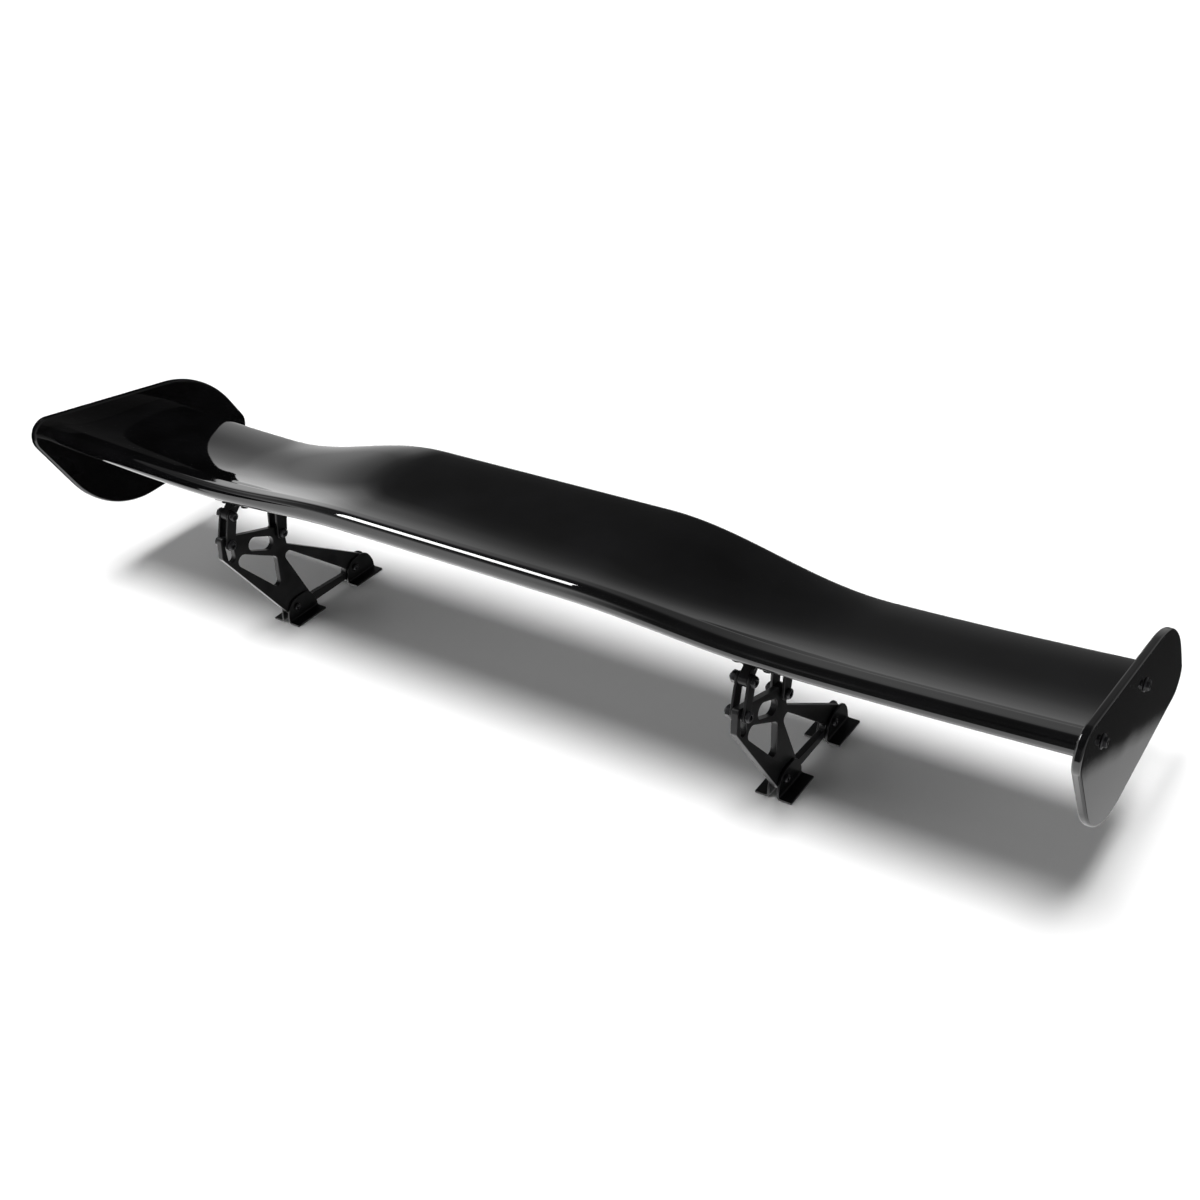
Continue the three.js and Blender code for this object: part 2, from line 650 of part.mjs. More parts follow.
// Bent-sheet foot: a base flange, a bend and an arched tab, for the +X side of the truss plate.
function footAngle() {
  const inner = TRUSS_THICKNESS / 2 + GAP;
  const sheet = new THREE.Shape();
  sheet.moveTo(inner, TAB_HEIGHT);
  sheet.lineTo(inner, FOOT_BEND);
  sheet.absarc(inner + FOOT_BEND, FOOT_BEND, FOOT_BEND, Math.PI, 1.5 * Math.PI, false);
  sheet.lineTo(FOOT_HALF_WIDTH, 0);
  sheet.lineTo(FOOT_HALF_WIDTH, FOOT_SHEET);
  sheet.lineTo(inner + FOOT_BEND, FOOT_SHEET);
  sheet.absarc(inner + FOOT_BEND, FOOT_BEND, FOOT_BEND - FOOT_SHEET, 1.5 * Math.PI, Math.PI, true);
  sheet.lineTo(inner + FOOT_SHEET, TAB_HEIGHT);
  sheet.closePath();
  const bent = toSolid(extrudeY(sheet, -FOOT_HALF_LENGTH, FOOT_HALF_LENGTH, 2));
  const arch = new THREE.Shape();
  arch.moveTo(-FOOT_HALF_LENGTH, -1);
  arch.lineTo(FOOT_HALF_LENGTH, -1);
  arch.lineTo(FOOT_HALF_LENGTH, FOOT_SHEET + 1);
  arch.bezierCurveTo(FOOT_HALF_LENGTH - 1, TAB_HEIGHT - 12, 16, TAB_HEIGHT, 4, TAB_HEIGHT);
  arch.lineTo(-4, TAB_HEIGHT);
  arch.bezierCurveTo(-16, TAB_HEIGHT, -FOOT_HALF_LENGTH + 1, TAB_HEIGHT - 12, -FOOT_HALF_LENGTH, FOOT_SHEET + 1);
  arch.closePath();
  const arched = toSolid(extrudeX(arch, 0, FOOT_HALF_WIDTH + 5, 4));
  const boltHole = cylinderX(FOOT_BOLT_RADIUS + GAP, 0, 15, FOOT_BOLT_OFFSET_Y, FOOT_BOLT_Z, 12);
  return bent.intersect(arched).subtract(toSolid(boltHole));
}

const footSolid = footAngle();
const strapOuter = FORK_HALF + STRAP_THICKNESS;

// Through bolt with its head on the +X side and its nut on the -X side of a clamped pack.
function throughBolt(parent, names, halfPack, place, radius, headRadius, collarHalf) {
  const seat = halfPack + GAP;
  const nutHeight = radius * 1.5;
  const length = 2 * seat + nutHeight + 2;
  const collar = collarHalf && { radius: COLLAR_RADIUS, from: -seat - collarHalf, to: -seat + collarHalf };
  const bolt = buttonBolt(radius, length, headRadius, radius * 1.1, collar);
  addMesh(parent, names[0], bolt, boltBlack(), [seat, ...place]);
  const nut = hexNut(radius + GAP, radius * 1.75, nutHeight);
  addMesh(parent, names[1], nut, boltBlack(), [-seat - nutHeight, ...place]);
}

function buildStand(sideName, side) {
  const stand = new THREE.Group();
  stand.position.x = side * STAND_X;
  model.add(stand);
  addMesh(stand, `truss_plate_${sideName}`, trussPlate(), satinBlack());

  addMesh(stand, `link_strap_${sideName}_a`, strap(), satinBlack(), [FORK_HALF, 0, 0]);
  addMesh(stand, `link_strap_${sideName}_b`, strap(), satinBlack(), [-strapOuter, 0, 0]);
  [
    ['link', LINK_TOP, null],
    ['slot', LINK_BOTTOM, FORK_HALF - GAP],
    ['pivot', PIVOT, null],
  ].forEach(([boltName, place, collarHalf]) => {
    const names = [`${boltName}_bolt_${sideName}`, `${boltName}_nut_${sideName}`];
    throughBolt(stand, names, strapOuter, place, BOLT_RADIUS, 6.5, collarHalf);
  });

  [['rear', REAR_FOOT_Y], ['front', FRONT_FOOT_Y]].forEach(([footName, footY]) => {
    const mirrored = toGeometry(footSolid.mirror([1, 0, 0]));
    addMesh(stand, `${footName}_foot_${sideName}_a`, toGeometry(footSolid), satinBlack(), [0, footY, 0]);
    addMesh(stand, `${footName}_foot_${sideName}_b`, mirrored, satinBlack(), [0, footY, 0]);
    const names = [`${footName}_foot_bolt_${sideName}`, `${footName}_foot_nut_${sideName}`];
    const place = [footY + FOOT_BOLT_OFFSET_Y, FOOT_BOLT_Z];
    throughBolt(stand, names, TRUSS_THICKNESS / 2 + GAP + FOOT_SHEET, place, FOOT_BOLT_RADIUS, 5.2, null);
  });
}

buildStand('left', -1);
buildStand('right', 1);

export default model;
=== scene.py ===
import math

import bpy
from mathutils import Matrix, Vector
from mathutils.geometry import delaunay_2d_cdt


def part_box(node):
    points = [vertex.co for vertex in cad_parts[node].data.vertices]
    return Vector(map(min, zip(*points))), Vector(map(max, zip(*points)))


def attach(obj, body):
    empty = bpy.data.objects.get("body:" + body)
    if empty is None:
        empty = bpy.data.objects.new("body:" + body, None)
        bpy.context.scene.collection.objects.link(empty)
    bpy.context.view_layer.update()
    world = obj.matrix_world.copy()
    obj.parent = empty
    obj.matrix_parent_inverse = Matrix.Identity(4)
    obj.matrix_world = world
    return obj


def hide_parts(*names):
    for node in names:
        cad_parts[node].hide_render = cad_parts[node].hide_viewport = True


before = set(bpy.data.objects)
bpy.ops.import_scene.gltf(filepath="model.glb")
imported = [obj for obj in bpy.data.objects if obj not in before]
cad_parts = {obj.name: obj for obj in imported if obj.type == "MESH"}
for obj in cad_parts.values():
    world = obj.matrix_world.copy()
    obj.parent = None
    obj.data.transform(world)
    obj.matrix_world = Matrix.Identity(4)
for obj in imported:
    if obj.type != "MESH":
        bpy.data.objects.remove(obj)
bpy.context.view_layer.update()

MM = 0.001

# ---- Driving sizes, in millimetres ----

# Blade section
# Waves: height in the middle and beyond it, rise at the ends and its power, start and end of the slope
REAR_WAVE = (243.6, 231, 11.5, 1.4, 160, 410)
FRONT_WAVE = (239.8, 194.8, 11.4, 1.6, 170, 450)
END_RISE_START = 430
END_RISE_SPAN = 290
OUTER_SECTION_START = 160
OUTER_SECTION_SPAN = 250
FRONT_RADIUS = 9
REAR_EDGE_Y = -166.5
FRONT_CENTRE_Y = 44.5 - FRONT_RADIUS
MIDDLE_REAR_RADIUS = 12
OUTER_REAR_RADIUS = 10
MIDDLE_LIP = 8
OUTER_LIP = 18
MIDDLE_LIP_DROP = 0.21
OUTER_LIP_DROP = 0.06
DISH_DEPTH = 8
DISH_SCALE = 6.75
SEAM_SLOPE = 0.21
NOSE_SLOPE = 0.25
CREASE_SOFTNESS = 1.7
UNDERSIDE_PULL = 0.36
FACE_STEPS = 34
UNDERSIDE_STEPS = 30
STATION_STEP = 7

# End plates and stands
PLATE_CORNERS = [(-203.5, 273.5, 26), (124.5, 225, 150), (197.5, 97, 24), (-101.5, 81, 131)]
PLATE_ROUNDING = 2.7
SCREW_HEAD_HEIGHT = 5
TRUSS_EDGE = 0.7
TRUSS_CORNERS = [
    (-45, 4, 2), (-43, 8, 2), (17, 8, 2), (19, 4, 2), (73, 4, 2), (73, 14, 4), (57, 30.5, 5),
    (-74, 115, 5), (-73, 147.5, 8.5), (-90, 148, 6), (-178.3, 175.5, 5), (-182.3, 146, 5),
    (-94.5, 13, 3), (-85, 4, 3),
]
TRUSS_WINDOWS = [
    [(-191, 161.5, 8.7), (-95, 106.2, 8), (-98.5, 55.7, 6)],
    [(-90.5, 119.9, 6.5), (30, 16.5, 5), (-49.5, 21, 6)],
]
OVAL_FROM = (-127.5, 141.8)
OVAL_TO = (-105, 131.5)
OVAL_RADIUS = 9.5
PIVOT = (-81, 137)
LINK_TOP = (-155, 198.5)
LINK_BOTTOM = (-167.6, 162.5)
SLOT_LOW = 141.4
SLOT_HIGH = 163
COLLAR_HOLE_RADIUS = 6
COLLAR_RADIUS = 5.7
SLOT_COLLAR_HALF = 5.3
STRAP_HALF_WIDTH = 7.5
BOLT_HOLE_RADIUS = 4.3
LINK_HOLE_RADIUS = 5.1
REAR_LUG_RADIUS = 7.5
FRONT_EAR_RADIUS = 8.5
FORK_HALF = 5.6
EAR_THICKNESS = 3.2
FLANGE_SIZE = (54, 24, 4)
FLANGE_CORNER = 3.5
FLANGE_HOLE_RADIUS = 2.8
FLANGE_GAP = 0.45
FLANGE_SCREW_X = 18
REAR_FLANGE_Y = -138
FRONT_FLANGE_Y = -70
FOOT_SHEET = 3
FOOT_BEND = 5
FOOT_TAB_HEIGHT = 33
FOOT_HALF_LENGTH = 27.5
FOOT_HALF_WIDTH = 23
FOOT_CENTRES = {"rear": -72.5, "front": 46}
FOOT_BOLT = (-10, 20)
FOOT_BOLT_HOLE_RADIUS = 3.3
FOOT_EDGE = 0.7
TAB_FLAT_HALF = 4
TAB_POWER = 2.6
TAB_ROUNDNESS = 0.62

# Bolts: shank radius, head radius, half of the socket across its flats
LARGE_BOLT = (4, 6.5, 2.5)
SMALL_BOLT = (3, 5.2, 2)
HEAD_PER_SHANK = 1.1
THREAD_LENGTH = 9
LATHE_SEGMENTS = 48

SIDES = (("left", -1), ("right", 1))


# ---- Small helpers ----

def mix(start, end, share):
    return start + (end - start) * share


def smooth(share):
    return (1 - math.cos(math.pi * min(1, max(0, share)))) / 2


def polar(centre, radius, angle):
    return (centre[0] + radius * math.cos(angle), centre[1] + radius * math.sin(angle))


def arc(centre, radius, start, end, steps):
    return [polar(centre, radius, mix(start, end, step / steps)) for step in range(steps + 1)]


def rounded_outline(corners, step=1.2):
    """Closed outline through (u, v, radius) corners, each rounded by an arc."""
    points = []
    count = len(corners)
    for index in range(count):
        u, v, radius = corners[index]
        before = Vector(corners[index - 1][:2]) - Vector((u, v))
        after = Vector(corners[(index + 1) % count][:2]) - Vector((u, v))
        before.normalize()
        after.normalize()
        half = before.angle(after) / 2
        reach = radius / math.tan(half)
        start = Vector((u, v)) + before * reach
        end = Vector((u, v)) + after * reach
        centre = Vector((u, v)) + (before + after).normalized() * radius / math.sin(half)
        first = math.atan2(start.y - centre.y, start.x - centre.x)
        last = math.atan2(end.y - centre.y, end.x - centre.x)
        turn = (last - first + math.pi) % (2 * math.pi) - math.pi
        steps = max(4, int(abs(turn) * radius / step))
        points += arc(centre, radius, first, first + turn, steps)
    return points


def stadium(start, end, radius, steps=20):
    heading = math.atan2(end[1] - start[1], end[0] - start[0])
    quarter = math.pi / 2
    return (arc(end, radius, heading - quarter, heading + quarter, steps)
            + arc(start, radius, heading + quarter, heading + 3 * quarter, steps))


def circle(centre, radius, steps=40):
    return [polar(centre, radius, 2 * math.pi * step / steps) for step in range(steps)]


def signed_area(loop):
    total = 0
    for index, (u, v) in enumerate(loop):
        nu, nv = loop[(index + 1) % len(loop)]
        total += u * nv - nu * v
    return total / 2


def counter_clockwise(loop):
    return list(loop) if signed_area(loop) > 0 else list(reversed(loop))


def inset(loop, distance):
    """Moves a counter-clockwise loop inward (or outward for a negative distance) along its mitres."""
    result = []
    count = len(loop)
    for index in range(count):
        here = Vector(loop[index])
        before = (here - Vector(loop[index - 1])).normalized()
        after = (Vector(loop[(index + 1) % count]) - here).normalized()
        normal_before = Vector((-before.y, before.x))
        normal_after = Vector((-after.y, after.x))
        mitre = normal_before + normal_after
        scale = 1 + normal_before.dot(normal_after)
        moved = here + mitre * (distance / max(scale, 0.3))
        result.append((moved.x, moved.y))
    return result


def new_object(name, verts, faces, material, sharp_degrees=38, weighted=True):
    """Makes a mesh object from millimetre points, smooth shaded up to the given angle."""
    mesh = bpy.data.meshes.new(name)
    mesh.from_pydata([Vector(vert) * MM for vert in verts], [], faces)
    mesh.validate()
    item = bpy.data.objects.new(name, mesh)
    bpy.context.scene.collection.objects.link(item)
    finish_mesh(item, material, sharp_degrees, weighted)
    return item


def finish_mesh(item, material, sharp_degrees=38, weighted=True):
    mesh = item.data
    mesh.polygons.foreach_set("use_smooth", [True] * len(mesh.polygons))
    mesh.set_sharp_from_angle(angle=math.radians(sharp_degrees))
    mesh.materials.clear()
    mesh.materials.append(material)
    if weighted:
        modifier = item.modifiers.new("weighted normals", "WEIGHTED_NORMAL")
        modifier.keep_sharp = True


def place(item, body, nodes):
    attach(item, body)
    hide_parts(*nodes)
    return item


def inside(point, loop):
    """Whether a point lies within a closed loop."""
    within = False
    for index, (u, v) in enumerate(loop):
        pu, pv = loop[index - 1]
        if (v > point[1]) != (pv > point[1]):
            if point[0] < (pu - u) * (point[1] - v) / (pv - v) + u:
                within = not within
    return within


def cap_triangles(verts, index_loops, upward):
    """Triangles that fill the first loop of vertices, leaving the other loops open."""
    flat = [index for loop in index_loops for index in loop]
    points = [Vector(verts[index][:2]) for index in flat]
    loops = [[verts[index][:2] for index in loop] for loop in index_loops]
    edges = []
    start = 0
    for loop in index_loops:
        edges += [(start + index, start + (index + 1) % len(loop)) for index in range(len(loop))]
        start += len(loop)
    result = delaunay_2d_cdt(points, edges, [], 0, 1e-6)
    sources = result[3]
    kept = []
    for triangle in result[2]:
        corners = [sources[corner][0] for corner in triangle]
        middle = sum((points[corner] for corner in corners), Vector((0, 0))) / 3
        if not inside(middle, loops[0]) or any(inside(middle, loop) for loop in loops[1:]):
            continue
        a, b, c = corners
        if ((points[b] - points[a]).cross(points[c] - points[a]) > 0) != upward:
            b, c = c, b
        kept.append((flat[a], flat[b], flat[c]))
    return kept


def plate_geometry(outline, holes, thickness, bevel, bevel_steps=3):
    """Flat plate in the (u, v) plane from w = 0 to w = thickness, with rounded edges."""
    loops = [counter_clockwise(outline)] + [counter_clockwise(hole) for hole in holes]
    profile = []
    for step in range(bevel_steps + 1):
        angle = math.pi / 2 * step / bevel_steps
        profile.append((bevel * (1 - math.sin(angle)), bevel * (1 - math.cos(angle))))
    rings = [(depth, shrink) for shrink, depth in profile]
    rings += [(thickness - depth, shrink) for shrink, depth in reversed(profile)]
    verts = []
    faces = []
    bottom_loops = []
    top_loops = []
    for loop_index, loop in enumerate(loops):
        direction = 1 if loop_index == 0 else -1
        count = len(loop)
        starts = []
        for depth, shrink in rings:
            starts.append(len(verts))
            for u, v in inset(loop, shrink * direction):
                verts.append((u, v, depth))
        for start, following in zip(starts, starts[1:]):
            for index in range(count):
                ahead = (index + 1) % count
                quad = (start + index, start + ahead, following + ahead, following + index)
                faces.append(quad if loop_index == 0 else tuple(reversed(quad)))
        bottom_loops.append([starts[0] + index for index in range(count)])
        top_loops.append([starts[-1] + index for index in range(count)])
    for cap_loops, upward in ((bottom_loops, False), (top_loops, True)):
        faces += cap_triangles(verts, cap_loops, upward)
    return verts, faces


def transform(geometry, matrix):
    verts, faces = geometry
    flip = matrix.determinant() < 0
    moved = [tuple(matrix @ Vector(vert)) for vert in verts]
    turned = [tuple(reversed(face)) for face in faces] if flip else list(faces)
    return moved, turned


def upright_at(x):
    """Matrix that stands a (u, v, w) plate up: u along +Y, v along +Z, w along +X from x."""
    return Matrix(((0, 0, 1, x), (1, 0, 0, 0), (0, 1, 0, 0), (0, 0, 0, 1)))


def lathe_geometry(rings, segments=LATHE_SEGMENTS):
    """Turned or hexagonal shape along +X from rings of (x, radius, across_flats_half or None)."""
    verts = []
    faces = []
    starts = []
    for x, radius, flats in rings:
        starts.append(len(verts))
        if radius <= 0:
            verts.append((x, 0, 0))
            continue
        for index in range(segments):
            angle = 2 * math.pi * index / segments
            reach = radius
            if flats:
                folded = (angle % (math.pi / 3)) - math.pi / 6
                reach = min(radius, flats / math.cos(folded))
            verts.append((x, reach * math.cos(angle), reach * math.sin(angle)))
    for ring_index in range(len(rings) - 1):
        here, following = starts[ring_index], starts[ring_index + 1]
        here_point = rings[ring_index][1] <= 0
        following_point = rings[ring_index + 1][1] <= 0
        for index in range(segments):
            ahead = (index + 1) % segments
            if here_point:
                faces.append((here, following + ahead, following + index))
            elif following_point:
                faces.append((here + index, here + ahead, following))
            else:
                faces.append((here + index, here + ahead, following + ahead, following + index))
    return verts, [tuple(reversed(face)) for face in faces]


def boolean(base, other, operation):
    """Joins or cuts two closed meshes and leaves the result in the first."""
    modifier = base.modifiers.new("boolean", "BOOLEAN")
    modifier.operation = operation
    modifier.solver = "EXACT"
    modifier.object = other
    graph = bpy.context.evaluated_depsgraph_get()
    result = bpy.data.meshes.new_from_object(base.evaluated_get(graph))
    base.modifiers.clear()
    name = base.data.name
    old = base.data
    base.data = result
    bpy.data.meshes.remove(old)
    result.name = name
    bpy.data.objects.remove(other, do_unlink=True)


def scratch_object(geometry):
    verts, faces = geometry
    mesh = bpy.data.meshes.new("scratch")
    mesh.from_pydata([Vector(vert) * MM for vert in verts], [], faces)
    mesh.validate()
    item = bpy.data.objects.new("scratch", mesh)
    bpy.context.scene.collection.objects.link(item)
    return item


# ---- Materials ----

def base_material(name, color, metallic, roughness, coat, coat_roughness, specular=0.5):
    material = bpy.data.materials.new(name)
    material.use_nodes = True
    nodes = material.node_tree.nodes
    shader = nodes["Principled BSDF"]
    shader.inputs["Base Color"].default_value = (*color, 1)
    shader.inputs["Metallic"].default_value = metallic
    shader.inputs["Roughness"].default_value = roughness
    shader.inputs["Coat Weight"].default_value = coat
    shader.inputs["Coat Roughness"].default_value = coat_roughness
    shader.inputs["Specular IOR Level"].default_value = specular
    return material


def add_noise(material, scale, detail, seed):
    nodes = material.node_tree.nodes
    links = material.node_tree.links
    place_node = nodes.new("ShaderNodeTexCoord")
    noise = nodes.new("ShaderNodeTexNoise")
    noise.noise_dimensions = "4D"
    noise.inputs["W"].default_value = seed
    noise.inputs["Scale"].default_value = scale
    noise.inputs["Detail"].default_value = detail
    links.new(place_node.outputs["Object"], noise.inputs["Vector"])
    return noise


def vary(material, noise, socket, low, high, from_low=0.35, from_high=0.65):
    nodes = material.node_tree.nodes
    links = material.node_tree.links
    remap = nodes.new("ShaderNodeMapRange")
    remap.inputs["From Min"].default_value = from_low
    remap.inputs["From Max"].default_value = from_high
    remap.inputs["To Min"].default_value = low
    remap.inputs["To Max"].default_value = high
    links.new(noise.outputs["Fac"], remap.inputs["Value"])
    links.new(remap.outputs["Result"], nodes["Principled BSDF"].inputs[socket])
    return remap


def vary_color(material, noise, low, high, from_low=0.35, from_high=0.65):
    nodes = material.node_tree.nodes
    links = material.node_tree.links
    ramp = nodes.new("ShaderNodeValToRGB")
    ramp.color_ramp.elements[0].position = from_low
    ramp.color_ramp.elements[0].color = (*low, 1)
    ramp.color_ramp.elements[1].position = from_high
    ramp.color_ramp.elements[1].color = (*high, 1)
    links.new(noise.outputs["Fac"], ramp.inputs["Fac"])
    links.new(ramp.outputs["Color"], nodes["Principled BSDF"].inputs["Base Color"])


def bump(material, noise, strength, distance, previous=None, coat=False):
    nodes = material.node_tree.nodes
    links = material.node_tree.links
    node = nodes.new("ShaderNodeBump")
    node.inputs["Strength"].default_value = strength
    node.inputs["Distance"].default_value = distance
    links.new(noise.outputs["Fac"], node.inputs["Height"])
    if previous:
        links.new(previous.outputs["Normal"], node.inputs["Normal"])
    links.new(node.outputs["Normal"], nodes["Principled BSDF"].inputs["Normal"])
    if coat:
        links.new(node.outputs["Normal"], nodes["Principled BSDF"].inputs["Coat Normal"])
    return node


def gloss_black():
    material = base_material("gloss black", (0.0022, 0.0022, 0.0024), 0, 0.05, 0.0, 0.02, 0.5)
    haze = add_noise(material, 6, 5, 1)
    vary(material, haze, "Roughness", 0.012, 0.035)
    tint = add_noise(material, 14, 3, 2)
    vary_color(material, tint, (0.0018, 0.0018, 0.0019), (0.0032, 0.0032, 0.0035))
    flow = bump(material, add_noise(material, 9, 1, 3), 0.10, 0.0008)
    peel = add_noise(material, 260, 2, 4)
    bump(material, peel, 0.045, 0.00012, flow)
    return material


def satin_black():
    material = base_material("satin black powder coat", (0.005, 0.005, 0.0055), 0, 0.36, 0, 0.2, 0.24)
    cloud = add_noise(material, 30, 4, 5)
    vary(material, cloud, "Roughness", 0.28, 0.42)
    vary_color(material, add_noise(material, 55, 4, 6), (0.002, 0.002, 0.0022), (0.0045, 0.0045, 0.005))
    grain = bump(material, add_noise(material, 1400, 3, 7), 0.35, 0.00006)
    bump(material, add_noise(material, 120, 2, 8), 0.12, 0.0003, grain)
    return material


def black_oxide():
    material = base_material("black oxide steel", (0.02, 0.02, 0.021), 0.6, 0.3, 0, 0.2, 0.4)
    vary(material, add_noise(material, 90, 4, 9), "Roughness", 0.22, 0.42)
    vary_color(material, add_noise(material, 150, 4, 10), (0.008, 0.008, 0.009), (0.022, 0.022, 0.024))
    bump(material, add_noise(material, 900, 3, 11), 0.2, 0.00008)
    return material


def zinc_steel():
    material = base_material("zinc plate", (0.6, 0.61, 0.62), 1, 0.35, 0, 0.2, 0.5)
    vary(material, add_noise(material, 60, 5, 12), "Roughness", 0.25, 0.5)
    vary_color(material, add_noise(material, 35, 5, 13), (0.5, 0.51, 0.53), (0.68, 0.68, 0.67))
    bump(material, add_noise(material, 700, 3, 14), 0.15, 0.0001)
    return material


def raw_plastic():
    material = base_material("raw moulded plastic", (0.02, 0.02, 0.02), 0, 0.6, 0, 0.2, 0.5)
    vary(material, add_noise(material, 40, 4, 15), "Roughness", 0.5, 0.75)
    vary_color(material, add_noise(material, 20, 4, 16), (0.014, 0.014, 0.014), (0.028, 0.028, 0.028))
    bump(material, add_noise(material, 500, 4, 17), 0.3, 0.00015)
    return material


GLOSS = gloss_black()
SATIN = satin_black()
OXIDE = black_oxide()
ZINC = zinc_steel()
RAW = raw_plastic()

for name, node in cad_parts.items():
    if "backing" in name:
        node.data.materials.clear()
        node.data.materials.append(ZINC)
    elif "rib" in name:
        node.data.materials.clear()
        node.data.materials.append(RAW)


# ---- Blade ----

def wave_height(x, wave):
    """Height of the blade's rear or front edge line at a place along the span."""
    middle, low, rise, power, wave_start, wave_end = wave
    beyond = max(0, (abs(x) - END_RISE_START) / END_RISE_SPAN)
    outer = low + rise * beyond ** power
    return mix(middle, outer, smooth((abs(x) - wave_start) / (wave_end - wave_start)))


def soften_corner(points, corner_index, reach):
    """Replaces one corner of a polyline by a short curve."""
    corner = Vector(points[corner_index])
    start = corner + (Vector(points[corner_index - 1]) - corner).normalized() * reach
    end = corner + (Vector(points[corner_index + 1]) - corner).normalized() * reach
    curve = []
    for step in range(7):
        t = step / 6
        point = start * (1 - t) ** 2 + corner * 2 * t * (1 - t) + end * t ** 2
        curve.append((point.x, point.y))
    return points[:corner_index] + curve + points[corner_index + 1:]


def blade_ring(x):
    """Closed outline of the blade at one place along the span, as (y, z) points."""
    outer_share = smooth((abs(x) - OUTER_SECTION_START) / OUTER_SECTION_SPAN)
    rear_radius = mix(MIDDLE_REAR_RADIUS, OUTER_REAR_RADIUS, outer_share)
    rear = (REAR_EDGE_Y + rear_radius, wave_height(x, REAR_WAVE))
    front = (FRONT_CENTRE_Y, wave_height(x, FRONT_WAVE))
    chord = math.atan2(front[1] - rear[1], front[0] - rear[0])
    lip_turn = math.pi / 2 + chord - mix(MIDDLE_LIP_DROP, OUTER_LIP_DROP, outer_share)
    lip_start = polar(rear, rear_radius, lip_turn)
    lip_heading = chord - mix(MIDDLE_LIP_DROP, OUTER_LIP_DROP, outer_share)
    crease = polar(lip_start, mix(MIDDLE_LIP, OUTER_LIP, outer_share), lip_heading)
    face_angle = math.atan2(front[1] + FRONT_RADIUS - crease[1], front[0] - crease[0])
    face_end = polar(front, FRONT_RADIUS, math.pi / 2 + face_angle)
    face = []
    for step in range(1, FACE_STEPS + 1):
        share = step / FACE_STEPS
        height = mix(crease[1], face_end[1], share) - DISH_DEPTH * DISH_SCALE * share * (1 - share) ** 2
        face.append((mix(crease[0], face_end[0], share), height))
    upper = arc(rear, rear_radius, math.pi, lip_turn, 16)
    for quarter in (1, 2, 3):
        upper.append((mix(lip_start[0], crease[0], quarter / 4), mix(lip_start[1], crease[1], quarter / 4)))
    corner_index = len(upper)
    upper += [crease] + face
    upper = soften_corner(upper, corner_index, CREASE_SOFTNESS)
    rear_slope = chord - SEAM_SLOPE
    front_slope = chord + NOSE_SLOPE
    front_turn = front_slope - math.pi / 2
    nose = arc(front, FRONT_RADIUS, math.pi / 2 + face_angle, front_turn, 22)[1:]
    lower_start = Vector(polar(rear, rear_radius, rear_slope - math.pi / 2))
    lower_end = Vector(polar(front, FRONT_RADIUS, front_turn))
    pull = UNDERSIDE_PULL * (lower_end.x - lower_start.x)
    first = lower_start + Vector((1, math.tan(rear_slope))) * pull
    second = lower_end - Vector((1, math.tan(front_slope))) * pull
    lower = []
    for step in range(1, UNDERSIDE_STEPS + 1):
        t = 1 - step / UNDERSIDE_STEPS
        point = (lower_start * (1 - t) ** 3 + first * 3 * t * (1 - t) ** 2
                 + second * 3 * t ** 2 * (1 - t) + lower_end * t ** 3)
        lower.append((point.x, point.y))
    tail = arc(rear, rear_radius, rear_slope - math.pi / 2, -math.pi, 10)[1:-1]
    return upper + nose + lower + tail


def build_blade():
    low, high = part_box("upper_skin")
    half_span = (high.x - low.x) / 2 / MM
    count = int(2 * half_span / STATION_STEP)
    verts = []
    faces = []
    ring_size = 0
    for station in range(count + 1):
        x = mix(-half_span, half_span, station / count)
        ring = blade_ring(x)
        ring_size = len(ring)
        verts += [(x, y, z) for y, z in ring]
    for station in range(count):
        here = station * ring_size
        following = here + ring_size
        for index in range(ring_size):
            ahead = (index + 1) % ring_size
            faces.append((here + index, following + index, following + ahead, here + ahead))
    last = count * ring_size
    faces.append(tuple(range(ring_size)))
    faces.append(tuple(reversed(range(last, last + ring_size))))
    blade = new_object("wing_blade", verts, faces, GLOSS, 40, False)
    place(blade, "wing", ["upper_skin", "lower_skin"])


def underside_height(x, y):
    """Height of the blade's lower face at (x, y)."""
    ring = blade_ring(x)
    best = None
    for index in range(len(ring)):
        ay, az = ring[index]
        by, bz = ring[(index + 1) % len(ring)]
        if min(ay, by) <= y <= max(ay, by) and ay != by:
            height = mix(az, bz, (y - ay) / (by - ay))
            best = height if best is None else min(best, height)
    return best


# ---- End plates and their screws ----

def build_end_plates():
    for side, _ in SIDES:
        low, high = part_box("end_plate_" + side)
        thickness = (high.x - low.x) / MM
        geometry = plate_geometry(rounded_outline(PLATE_CORNERS, 2.5), [], thickness, PLATE_ROUNDING, 8)
        verts, faces = transform(geometry, upright_at(low.x / MM))
        plate = new_object("end_plate_" + side, verts, faces, GLOSS, 40)
        place(plate, "wing", ["end_plate_" + side])


def flange_screw(head_height, shank):
    """Flange-head screw with a hexagon and a socket; the seat of the head is at x = 0."""
    flange = 1.8
    return lathe_geometry([
        (-shank, 0, None), (-shank, 1.2, None), (-shank + 1.5, 2.4, None),
        (-0.4, 2.4, None), (0, 2.6, None), (0, 7.2, None),
        (0.35, 7.6, None), (0.8, 7.75, None), (1.1, 7.55, None),
        (flange, 6.1, None), (flange + 0.25, 5.6, 4.9), (head_height - 0.9, 5.62, 4.9),
        (head_height - 0.35, 5.3, 4.85), (head_height, 4.6, None), (head_height, 3.2, None),
        (head_height - 0.3, 2.7, 2.5), (head_height - 3, 2.7, 2.5), (head_height - 3.6, 1.4, None),
        (head_height - 3.6, 0, None),
    ])


